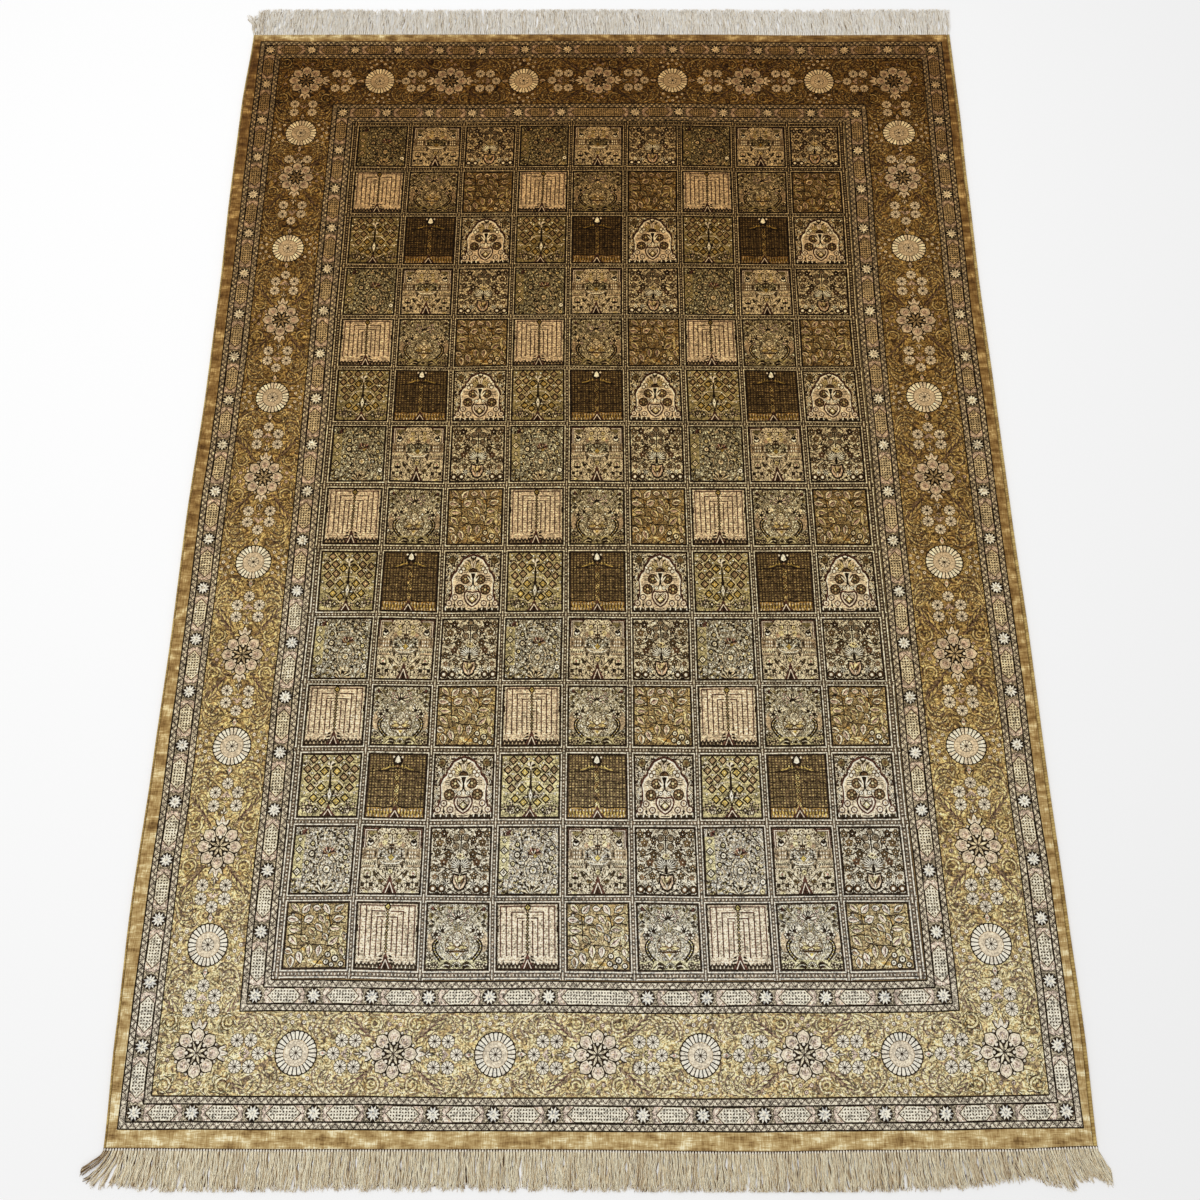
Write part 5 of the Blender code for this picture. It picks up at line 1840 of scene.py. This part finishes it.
def lay_fringe(name, side, lean_column, length_column, loose, material):
    """Tassels of fine warp ends, wavy and uneven, lying close over a flat, darker strand: a painted shadow
    that fills the gaps.
    """
    pick = np.random.default_rng(SEED + 20 + side)
    count = round(2 * HALF_WIDTH / KNOT_PITCH)
    total = count * STRANDS
    tassel = np.repeat(np.arange(count), STRANDS)
    middle = (tassel + 0.5) * KNOT_PITCH - HALF_WIDTH
    beside = (np.tile(np.arange(STRANDS), count) - (STRANDS - 1) / 2) / STRANDS
    lean = eased(FRINGE_LIE, lean_column, middle) * MM
    length = eased(FRINGE_LIE, length_column, middle) * MM
    own = {key: pick.normal(0, 1, count)[tassel] for key in ("lean", "length", "wave", "phase", "tone")}
    clump = np.sin(middle / 0.0048 + 2.3 * np.sin(middle / 0.021))
    lean = lean + own["lean"] * 0.0010 * loose + pick.normal(0, 0.0016, total) * loose - clump * 0.0012
    length = length + own["length"] * 0.0012 * loose - 0.0022 + 0.0018 * clump
    length = length + pick.normal(0, 0.0014, total)
    share = np.linspace(0, 1, STRAND_STATIONS)[None, :]
    start = HALF_LENGTH + STRAND_START
    out = start + (length[:, None] - STRAND_START) * share
    spread = (beside * KNOT_PITCH)[:, None] * (0.55 + 0.75 * share)
    sway = (0.0008 + 0.0006 * np.abs(own["wave"]))[:, None] * loose * np.sin(
        share * (6.5 + own["wave"][:, None]) + own["phase"][:, None] * 2) * np.minimum(share * 3, 1)
    ripples, phase = pick.uniform(13, 20, (total, 1)), pick.uniform(0, 6.3, (total, 1))
    crimp = 0.0007 * loose * np.sin(share * ripples + phase) * np.minimum(share * 4, 1)
    x = middle[:, None] + lean[:, None] * share ** 1.4 + spread + sway + crimp
    curl = np.clip((share - 0.84) / 0.16, 0, 1) ** 2
    x = x + curl * pick.normal(0, 0.0022, (total, 1))
    out = out - curl * np.abs(pick.normal(0, 0.0016, (total, 1)))
    height = STRAND_HEIGHT + pick.uniform(-0.0009, 0.0012, (total, 1)) * np.minimum(share * 5, 1)
    height = height + 0.0004 * np.sin(share * 9 + pick.uniform(0, 6.3, (total, 1)))
    height = np.clip(height, STRAND_RADIUS, 0.0034)
    below = np.tile(np.arange(STRANDS) == STRANDS // 2, count)
    height[below] = STRAND_RADIUS
    out[below] = start + (out[below] - start) * SHADOW_STRAND_LENGTH
    px, py = lay(x.ravel(), side * out.ravel())
    lowest, highest = centred(-REACH_LEFT, -REACH_NEAR), centred(REACH_RIGHT, REACH_FAR)
    px = np.clip(px, lowest[0], highest[0]).reshape(x.shape)
    py = np.clip(py, lowest[1], highest[1]).reshape(x.shape)
    path = np.stack([px, py, height], -1)
    # Painted shade: higher strands lighter and lower ones darker, the flat strand below darkest, with random
    # tone along and between strands
    tones = np.broadcast_to(0.68 + 0.12 * np.exp(-share * 12) - 0.24 * curl + 0.06 * own["tone"][:, None]
                            + 130 * (height - STRAND_HEIGHT) + pick.normal(0, 0.17, (total, 1))
                            + 0.12 * np.sin(share * 17 + pick.uniform(0, 6.3, (total, 1)))
                            - 0.3 * np.clip((DIM_FROM - middle[:, None]) / DIM_RUN, 0, 1)
                            - 0.12 * below[:, None], x.shape)
    rings = round_tubes(path, STRAND_RADIUS * (1.0 - 0.4 * curl), STRAND_SIDES)
    wider = rings[..., 0] + (rings[..., 0] - px[..., None]) * SHADOW_STRAND_WIDER * below[:, None, None]
    rings[..., 0] = np.clip(wider, lowest[0], highest[0])
    mesh = tube_of(name, rings, np.repeat(tones[:, :, None], STRAND_SIDES, 2), caps=False)
    mesh.materials.append(material)
    return add_object(name, mesh)


def round_tubes(middle, radius, sides):
    """Rings round the stations of centrelines; middle is an array of tubes, stations and x, y, z."""
    along = np.gradient(middle, axis=1)
    along /= np.linalg.norm(along, axis=2, keepdims=True)
    across = np.cross(along, (0.0, 0.0, 1.0))
    across /= np.maximum(np.linalg.norm(across, axis=2, keepdims=True), 1e-9)
    up = np.cross(across, along)
    angle = (np.arange(sides) + 0.5) * FULL_TURN / sides
    offsets = across[:, :, None] * np.cos(angle)[:, None] + up[:, :, None] * np.sin(angle)[:, None]
    radius = np.broadcast_to(radius, middle.shape[:2])
    return middle[:, :, None] + offsets * radius[:, :, None, None]


class Look:
    """A material's nodes, added in short lines. Places are in metres of the frame."""

    def __init__(self, name, roughness, specular, sheen=0.0, sheen_tint=(1.0, 1.0, 1.0)):
        self.material = bpy.data.materials.new(name)
        self.material.use_nodes = True
        self.tree = self.material.node_tree
        self.shader = self.tree.nodes["Principled BSDF"]
        for socket, value in (("Roughness", roughness), ("Specular IOR Level", specular),
                              ("Sheen Weight", sheen), ("Sheen Roughness", 0.4),
                              ("Sheen Tint", (*sheen_tint, 1.0))):
            self.shader.inputs[socket].default_value = value
        self.place = self.add("ShaderNodeTexCoord").outputs["Object"]

    def add(self, kind, inputs=(), **settings):
        """A node; inputs are sockets to link or values to set, in order, and None leaves one alone."""
        node = self.tree.nodes.new(kind)
        for key, value in settings.items():
            setattr(node, key, value)
        for k, value in enumerate(inputs):
            if isinstance(value, bpy.types.NodeSocket):
                self.tree.links.new(value, node.inputs[k])
            elif value is not None:
                node.inputs[k].default_value = value
        return node

    def attribute(self, name, kind="Fac"):
        """A number, colour or vector stored in the mesh."""
        return self.add("ShaderNodeAttribute", attribute_name=name).outputs[kind]

    def parts(self, vector):
        """The three numbers of a vector or colour."""
        return self.add("ShaderNodeSeparateXYZ", (vector,)).outputs[:]

    def vector(self, x, y, z):
        """A vector or colour of three numbers."""
        return self.add("ShaderNodeCombineXYZ", (x, y, z)).outputs[0]

    def number(self, operation, *inputs):
        """A sum, product or the like of numbers."""
        return self.add("ShaderNodeMath", inputs, operation=operation).outputs[0]

    def times(self, first, second):
        """The product of two numbers."""
        return self.number("MULTIPLY", first, second)

    def minus(self, first, second):
        """A number less another."""
        return self.number("SUBTRACT", first, second)

    def scaled(self, value, factor, shift):
        """A number times a factor, and shifted."""
        return self.number("MULTIPLY_ADD", value, factor, shift)

    def colour(self, operation, *inputs):
        """A sum, product or the like of colours."""
        return self.add("ShaderNodeVectorMath", inputs, operation=operation).outputs[0]

    def noise(self, size, detail=2.0, place=None, twist=0.0):
        """Noise from 0 to 1 with features of a size along x, y and z, in the place's own unit."""
        node = self.add("ShaderNodeTexNoise")
        self.tree.links.new(self.colour("DIVIDE", place or self.place, size), node.inputs["Vector"])
        node.inputs["Scale"].default_value = 1.0
        node.inputs["Detail"].default_value = detail
        node.inputs["Distortion"].default_value = twist
        return node.outputs["Fac"]

    def cells(self, size, place):
        """How far each place is from the middle of its cell, and a random number for the cell."""
        node = self.add("ShaderNodeTexVoronoi")
        self.tree.links.new(self.colour("DIVIDE", place, (size, size, size)), node.inputs["Vector"])
        node.inputs["Scale"].default_value = 1.0
        node.inputs["Randomness"].default_value = 0.85
        return node.outputs["Distance"], self.parts(node.outputs["Color"])[0]

    def rise(self, value, low, high):
        """0 up to low and 1 from high on; turned round if high is the smaller."""
        return self.add("ShaderNodeMapRange", (value, low, high)).outputs[0]

    def wave(self, value, half):
        """A number folded back and forth between 0 and half."""
        return self.number("PINGPONG", value, half)

    def apart(self, value, middle):
        """How far a number is from a middle one."""
        return self.number("ABSOLUTE", self.minus(value, middle))

    def mixed(self, first, second, share):
        """One colour turned into another by a share."""
        return self.colour("MULTIPLY_ADD", self.colour("SUBTRACT", second, first), share, first)

    def ramp(self, value, stops):
        """Colours along a number; stops are its places with linear colours."""
        node = self.add("ShaderNodeValToRGB", (value,))
        marks = node.color_ramp.elements
        for k, (at, shade) in enumerate(stops):
            mark = marks[k] if k < 2 else marks.new(at)
            mark.position, mark.color = at, (*shade, 1.0)
        return node.outputs["Color"]

    def steps(self, value, stops):
        """Tones along a number, from -1 for dark to 1 for pale; stops are its places with tones."""
        grey = self.ramp(value, [(at, (0.5 + tone / 2,) * 3) for at, tone in stops])
        return self.scaled(grey, 2.0, -1.0)

    def swapped(self, first, second, share):
        """One number turned into another by a share."""
        return self.scaled(self.minus(second, first), share, first)

    def spread(self, value, low, high):
        """Turns 0 to 1 into low to high."""
        return self.scaled(value, high - low, low)

    def finish(self, colour, height, depth):
        """Sets the colour, and a bump of a height from 0 to 1 and a depth in metres."""
        self.tree.links.new(colour, self.shader.inputs["Base Color"])
        bump = self.add("ShaderNodeBump")
        bump.inputs["Strength"].default_value = 1.0
        bump.inputs["Distance"].default_value = depth
        self.tree.links.new(height, bump.inputs["Height"])
        self.tree.links.new(bump.outputs["Normal"], self.shader.inputs["Normal"])
        return self.material


def with_painted_sheen(look, colour, steady):
    """A dye with the painted sheen of each place; steady says how closely it follows the painted sheen."""
    pale = look.attribute("painted_sheen")
    shown = []
    for part, power, follows in zip(look.parts(colour), SHEEN_POWERS, STEADY_PARTS):
        rest = look.minus(1.0, part)
        power = look.times(look.number("POWER", steady, follows), power)
        shown.append(look.minus(1.0, look.number("POWER", rest, look.number("POWER", power, pale))))
    return look.vector(*shown)


def garden_inlay(look, x, y, kind):
    """Dark and pale curls side by side, and small ringed flowers, the same on both sides of a panel."""
    place = look.vector(look.number("ABSOLUTE", x), y, kind)
    curls = look.steps(look.noise((5.0, 5.0, 9.0), 1.0, place, 0.8), (
        (0.30, -1.0), (0.33, 0.0), (0.38, 0.0), (0.40, 0.6), (0.44, 0.6), (0.46, -1.0), (0.50, -1.0),
        (0.52, 0.0), (0.56, 0.3), (0.58, -0.9), (0.61, -0.9), (0.63, 0.6)))
    away, chance = look.cells(5.8, place)
    flower = look.steps(away, ((0.07, -1.0), (0.12, 1.0), (0.25, 1.0), (0.30, -1.0), (0.42, -1.0)))
    here = look.times(look.rise(chance, 0.52, 0.54), look.rise(away, 0.46, 0.42))
    return look.swapped(curls, flower, here)


def leafy_inlay(look, x, y, kind):
    """Dark leaves with pale edges, the same on both sides of a panel."""
    place = look.vector(look.number("ABSOLUTE", x), y, kind)
    return look.steps(look.noise((4.2, 5.0, 9.0), 0.6, place, 0.5), (
        (0.36, -1.0), (0.42, -0.9), (0.45, 0.8), (0.50, 0.8), (0.53, -0.5), (0.55, 0.0), (0.58, 0.7),
        (0.61, -0.9), (0.66, -1.0)))


def husk_inlay(look, x, y, kind):
    """Dark veins with pale ones beside them, and patches of brown and gold."""
    place = look.vector(x, y, kind)
    veins = look.wave(look.times(look.noise((17.0, 17.0, 9.0), 0.8, place, 1.0), 9.0), 0.5)
    lines = look.steps(veins, ((0.05, -1.0), (0.10, -0.1), (0.20, 0.0), (0.25, 0.7), (0.31, 0.7),
                               (0.36, -0.1)))
    patches = look.noise((8.0, 8.0, 9.0), 1.0, place)
    return look.number("ADD", lines, look.spread(patches, -1.0, 0.9))


def scroll_inlay(look, x, y, kind):
    """Feathered scrollwork over the whole border: families of dark bent lines between pale ones."""
    place = look.colour("MULTIPLY", look.place, (1000.0, 1000.0, 1000.0))
    swirl = look.noise((26.0, 22.0, 9.0), 0.0, place, 0.9)
    feather = look.steps(look.wave(look.times(swirl, 6.5), 0.5), (
        (0.08, -1.0), (0.14, -0.4), (0.22, 0.0), (0.30, 0.6), (0.42, 0.7), (0.46, -0.2)))
    patches = look.noise((6.4, 5.0, 9.0), 1.6, place)
    broken = look.times(feather, look.rise(patches, 0.30, 0.50))
    return look.number("ADD", broken, look.spread(patches, -1.0, 0.9))


def thatch_inlay(look, x, y, kind):
    """A close grid of dots between dark lines."""
    column, row = look.wave(x, 2.475), look.wave(y, 2.035)
    uneven = look.noise((5.0, 4.0, 9.0), 1.0, look.vector(x, y, kind))
    dot = look.times(look.rise(column, 0.6, 1.8), look.rise(row, 0.4, 1.5))
    dot = look.times(dot, look.spread(uneven, -0.5, 1.5))
    line = look.number("MAXIMUM", look.rise(column, 1.0, 0.3), look.rise(row, 0.7, 0.2))
    line = look.times(line, look.spread(uneven, 1.4, 0.0))
    return look.minus(look.times(dot, 0.42), line)


def courses_inlay(look, x, y, kind):
    """Columns of beads, one above another, with brown seams."""
    column = look.wave(look.minus(look.number("ABSOLUTE", x), 8.5), 3.85)
    shift = look.times(look.noise((4.0, 3.0, 9.0), 1.0, look.vector(x, y, kind)), 2.4)
    row = look.wave(look.number("ADD", y, shift), 1.95)
    uneven = look.noise((2.4, 2.0, 9.0), 1.0, look.vector(x, y, kind))
    seam = look.times(look.rise(row, 0.9, 0.3), look.rise(uneven, 0.4, 0.7))
    bead = look.times(look.rise(row, 0.9, 1.7), look.rise(column, 0.9, 2.0))
    return look.scaled(bead, 0.9, look.times(seam, -0.75))


def chain_inlay(look, x, y, kind):
    """A rope of pale lozenges between thin lines, which close a rectangle round each panel."""
    crossing = look.rise(kind, KIND_STEP * (KNOT_KIND - 0.6), KIND_STEP * (KNOT_KIND - 0.4))
    inwards = look.times(look.wave(x, LATTICE_DEEP / 2), crossing)
    away = look.number("MAXIMUM", look.wave(y, LATTICE_DEEP / 2), inwards)
    run = look.wave(x, PANEL_WIDE / 36)
    uneven = look.noise((2.6, 2.6, 9.0), 1.0, look.vector(x, y, kind))
    line = look.steps(look.number("DIVIDE", away, LATTICE_DEEP / 2), (
        (0.10, -1.0), (0.15, -0.6), (0.20, 0.65), (0.42, 0.65), (0.48, -1.0), (0.64, -1.0), (0.70, -0.5)))
    bead = look.rise(look.scaled(run, -1.2, away), 3.7, 4.2)
    return look.times(look.number("ADD", bead, line), look.spread(uneven, 0.4, 1.5))


def zigzag_inlay(look, x, y, kind):
    """A worn zigzag with blossoms in its pockets, the same in both stripes, on speckled ground."""
    off = look.minus(look.apart(y, GUARD_DEEP / 2), 16.7)
    run = look.wave(x, GUARD_UNIT / 16)
    uneven = look.noise((1.7, 1.5, 9.0), 1.0, look.vector(x, y, kind))
    line = look.apart(look.scaled(run, -1.2, off), -3.2)
    side = look.scaled(look.rise(off, -0.1, 0.1), 5.4, -2.7)
    pocket = look.vector(look.minus(run, look.times(look.rise(off, 0.1, -0.1), 5.4)),
                         look.minus(off, side), 0.0)
    reach = look.add("ShaderNodeVectorMath", (pocket,), operation="LENGTH").outputs["Value"]
    blossom = look.times(look.rise(reach, 2.0, 1.3), 0.6)
    pattern = look.minus(blossom, look.rise(line, 1.3, 0.7))
    return look.number("ADD", pattern, look.spread(uneven, -1.5, 1.5))


def dots_inlay(look, x, y, kind):
    """Rows of dark dots."""
    column = look.wave(x, 2.15)
    row = look.wave(look.minus(y, CARTOUCHE_MIDDLE + 2.15), 2.15)
    dot = look.times(look.rise(column, 1.5, 0.9), look.rise(row, 1.5, 0.9))
    return look.times(dot, -1.1)


def sprigs_inlay(look, x, y, kind):
    """Little ringed flowers and bent sprigs, the same on both sides of a panel."""
    place = look.vector(look.number("ABSOLUTE", x), y, kind)
    sprigs = look.steps(look.noise((3.6, 4.2, 9.0), 0.6, place, 0.6), (
        (0.34, -1.0), (0.38, -1.0), (0.40, 0.8), (0.45, 0.9), (0.48, 0.1), (0.55, 0.2), (0.57, -1.0),
        (0.62, -1.0), (0.65, 0.9)))
    away, chance = look.cells(6.4, place)
    flower = look.steps(away, ((0.06, -0.9), (0.11, 0.9), (0.22, 0.9), (0.26, -0.8), (0.34, -0.8),
                               (0.38, 0.3)))
    here = look.times(look.rise(chance, 0.56, 0.58), look.rise(away, 0.44, 0.40))
    return look.swapped(sprigs, flower, here)


# Inks of the small patterns, the warm patches of gold grounds, and limits to how the silk looks
DARK_INK, BORDER_INK = dye_of((60, 46, 34), 1.1), dye_of((98, 80, 62), 1.6)
PALE_INK, GOLDEN_INK = dye_of((246, 234, 200), 0.9), dye_of((236, 220, 162), 1.6)
WARM_PATCH = dye_of((180, 142, 84), 1.6)
COOLER = (0.80, 0.85, 0.82)           # for the dyes that change most, where the painted sheen is weakest
PALEST = (0.97, 0.91, 0.74)


def pile_look():
    """Clipped silk pile: its dyes under the painted sheen, the small patterns that fill some of them, and
    the unevenness of silk.
    """
    look = Look("silk_pile", 0.6, 0.02)
    x, y, kind = look.parts(look.attribute("motif", "Vector"))
    inlay = look.attribute("inlay")
    tone = 0.0
    makers = (garden_inlay, leafy_inlay, husk_inlay, scroll_inlay, thatch_inlay, courses_inlay, chain_inlay,
              zigzag_inlay, dots_inlay, sprigs_inlay)
    for number, maker in enumerate(makers, 1):
        here = look.number("COMPARE", inlay, float(number), 0.4)
        tone = look.scaled(here, maker(look, x, y, kind), tone)
    dark, pale = look.rise(tone, 0.0, -1.0), look.rise(tone, 0.0, 1.0)
    husk, scroll = float(INLAYS.index("husk")), float(INLAYS.index("scroll"))
    golden = look.rise(look.apart(inlay, scroll), 1.4, 1.2)
    dye, own = look.attribute("dye", "Color"), look.attribute("dye", "Alpha")
    warm = look.times(look.rise(look.apart(inlay, (husk + scroll) / 2), 1.4, 1.2),
                      look.rise(look.noise((0.018, 0.014, 0.02), 1.0), 0.5, 0.62))
    dye = look.mixed(dye, WARM_PATCH, look.times(warm, 0.4))
    bordered = look.number("COMPARE", inlay, scroll, 0.4)
    colour = look.mixed(dye, look.mixed(DARK_INK, BORDER_INK, bordered), dark)
    colour = look.mixed(colour, look.mixed(PALE_INK, GOLDEN_INK, golden), pale)
    steady = look.swapped(own, look.scaled(own, 0.45, 0.5),
                          look.times(pale, look.spread(golden, 1.0, 0.2)))
    knots = look.noise((0.0019, 0.0019, 0.01), 1.0)
    tufts = look.noise((0.0045, 0.0035, 0.01))
    streaks = look.noise((0.016, 0.0018, 0.01))
    clouds = look.noise((0.06, 0.035, 0.05), 3.0)
    uneven = look.times(look.spread(knots, -0.9, 2.9), look.spread(streaks, 0.6, 1.4))
    uneven = look.times(uneven, look.spread(tufts, -0.3, 2.3))
    calm = look.rise(own, 0.79, 0.71)
    uneven = look.swapped(uneven, 1.0, look.times(calm, 0.5))
    uneven = look.times(uneven, look.spread(clouds, 0.7, 1.3))
    # Painted sheen on each dye, then a cooler tint where the painted sheen is weakest
    colour = look.colour("MULTIPLY", with_painted_sheen(look, colour, steady), look.number("MAXIMUM", uneven, 0.12))
    cool = look.times(look.rise(own, 2.3, 2.6), look.rise(look.attribute("painted_sheen"), 0.95, 0.3))
    colour = look.colour("MULTIPLY", colour, look.mixed((1.0, 1.0, 1.0), COOLER, cool))
    colour = look.colour("MINIMUM", colour, PALEST)
    height = look.scaled(streaks, 0.6, knots)
    return look.finish(colour, height, 0.0006)


def band_look():
    """The plain gold band, streaked across the rug, with the painted sheen."""
    look = Look("silk_band", 0.5, 0.04)
    streaks = look.noise((0.012, 0.0012, 0.01), 2.0)
    crossed = look.noise((0.0012, 0.012, 0.01), 2.0)
    patches = look.noise((0.028, 0.014, 0.05), 3.0)
    value = look.scaled(look.number("ADD", streaks, crossed), 0.34, look.times(patches, 0.72))
    stops = ((0.50, (106, 78, 42)), (0.64, (162, 130, 80)), (0.76, (198, 170, 116)), (0.90, (250, 238, 196)))
    colour = look.ramp(value, [(at, dye_of(shade, 0.9)) for at, shade in stops])
    return look.finish(with_painted_sheen(look, colour, 0.9), streaks, 0.0008)


def binding_look():
    """Overcast gold yarn; its tone carries the painted shade of the grooves between the turns."""
    look = Look("silk_binding", 0.5, 0.1, 0.04, (1.0, 0.85, 0.6))
    fibres = look.noise((0.0008, 0.0003, 0.0008))
    patches = look.noise((0.02, 0.03, 0.02), 3.0)
    value = look.scaled(patches, 0.5, look.times(look.attribute("tone"), 0.6))
    colour = look.ramp(value, ((0.25, linear((92, 66, 30))), (0.5, linear((150, 120, 66))),
                               (0.75, linear((214, 188, 120)))))
    colour = look.colour("MULTIPLY", colour, look.spread(fibres, 0.8, 1.2))
    return look.finish(colour, fibres, 0.0002)


def yarn_look(name, stops):
    """Cream warp yarn: fine fibres, and a tone for each strand."""
    look = Look(name, 0.7, 0.15, 0.08)
    fibres = look.noise((0.0005, 0.003, 0.0005))
    colour = look.ramp(look.attribute("tone"), [(at, linear(shade)) for at, shade in stops])
    colour = look.colour("MULTIPLY", colour, look.spread(fibres, 0.75, 1.25))
    return look.finish(colour, fibres, 0.0002)


def foundation_look():
    """The flat-woven back."""
    look = Look("foundation", 0.8, 0.1)
    weave = look.noise((0.0016, 0.0012, 0.01))
    colour = look.ramp(weave, ((0.3, linear((92, 70, 40))), (0.7, linear((146, 120, 78)))))
    return look.finish(colour, weave, 0.0004)


def lay_rug():
    """The whole rug."""
    silk, band = pile_look(), band_look()
    base = lay_base(foundation_look())
    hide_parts("pile")
    lay_field(silk)
    lay_border(silk)
    lay_guards(silk)
    lay_bands(band)
    binding = binding_look()
    left = lay_selvedge("overcast_left", -HALF_WIDTH + LEFT_CORD / 2, LEFT_CORD, 0.1, binding)
    right = lay_selvedge("overcast_right", HALF_WIDTH - RIGHT_CORD / 2, RIGHT_CORD, 0.22, binding)
    knots = yarn_look("warp_knots", ((0.0, (70, 52, 34)), (0.35, (150, 130, 100)), (0.6, (246, 238, 222)),
                                     (0.9, (255, 250, 240))))
    warp = yarn_look("warp_fringe", ((0.0, (94, 70, 48)), (0.3, (178, 152, 118)), (0.55, (230, 212, 176)),
                                     (0.85, (254, 246, 220))))
    warp_far = yarn_look("warp_fringe_far",
                         ((0.0, (160, 138, 108)), (0.3, (222, 208, 184)), (0.55, (244, 236, 220)),
                          (0.85, (254, 250, 242))))
    near = lay_knots("knots_row_near", -1, knots)
    far = lay_knots("knots_row_far", 1, knots)
    near_gap = lay_gap("knots_gap_near", -1, knots)
    far_gap = lay_gap("knots_gap_far", 1, knots)
    near_fringe = lay_fringe("tassels_near", -1, 1, 2, 1.0, warp)
    far_fringe = lay_fringe("tassels_far", 1, 3, 4, 1.5, warp_far)
    for item, node, slot in ((left, "selvedge_left", "silk_binding"),
                             (right, "selvedge_right", "silk_binding"), (near, "knots_near", "warp_knots"),
                             (far, "knots_far", "warp_knots"), (near_fringe, "fringe_near", "warp_fringe"),
                             (far_fringe, "fringe_far", "warp_fringe")):
        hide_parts(node)


# Camera: a phone held by someone standing at the near end
FOCAL_LENGTH = 30.0       # millimetres, on a 36 mm square sensor
CAMERA_PLACE = (0.0, -0.692, 1.582)    # from the pile's nominal middle
LOOKS_DOWN = 72.4         # degrees below the horizon, towards the far end
SENSOR = 36.0

# Studio
FLOOR_REACH = 6.0
FLOOR_HEIGHT = -0.0004
FLOOR_COLOUR = (0.97, 0.97, 0.97, 1.0)
SKY_STRENGTH = 0.62
LAMP_PLACE = (-0.8, 0.6, 3.2)
LAMP_SIZE = 4.0
LAMP_POWER = 62.0


def set_stage():
    """A pale floor, soft light from above and the camera."""
    floor = bpy.data.meshes.new("floor")
    corners = [(x * FLOOR_REACH, y * FLOOR_REACH, FLOOR_HEIGHT)
               for x, y in ((-1, -1), (1, -1), (1, 1), (-1, 1))]
    floor.from_pydata(corners, [], [(0, 1, 2, 3)])
    look = Look("studio_floor", 0.9, 0.0)
    look.shader.inputs["Base Color"].default_value = FLOOR_COLOUR
    floor.materials.append(look.material)
    stage = bpy.data.objects.new("floor", floor)
    bpy.context.scene.collection.objects.link(stage)

    world = bpy.data.worlds.new("studio")
    world.use_nodes = True
    sky = world.node_tree.nodes["Background"].inputs
    sky["Color"].default_value = (1.0, 1.0, 1.0, 1.0)
    sky["Strength"].default_value = SKY_STRENGTH
    bpy.context.scene.world = world
    lamp = bpy.data.lights.new("key", "AREA")
    lamp.shape, lamp.size, lamp.energy = "SQUARE", LAMP_SIZE, LAMP_POWER
    key = bpy.data.objects.new("key", lamp)
    key.location = LAMP_PLACE
    key.rotation_euler = (-key.location).to_track_quat("-Z", "Y").to_euler()
    bpy.context.scene.collection.objects.link(key)
    bpy.context.scene.view_settings.view_transform = "Standard"

    camera = bpy.data.objects.new("camera", bpy.data.cameras.new("camera"))
    camera.data.sensor_width, camera.data.lens = SENSOR, FOCAL_LENGTH
    camera.location = (*centred(*CAMERA_PLACE[:2]), CAMERA_PLACE[2])
    camera.rotation_euler = (math.radians(90 - LOOKS_DOWN), 0, 0)
    bpy.context.scene.collection.objects.link(camera)
    bpy.context.scene.camera = camera


lay_rug()
set_stage()
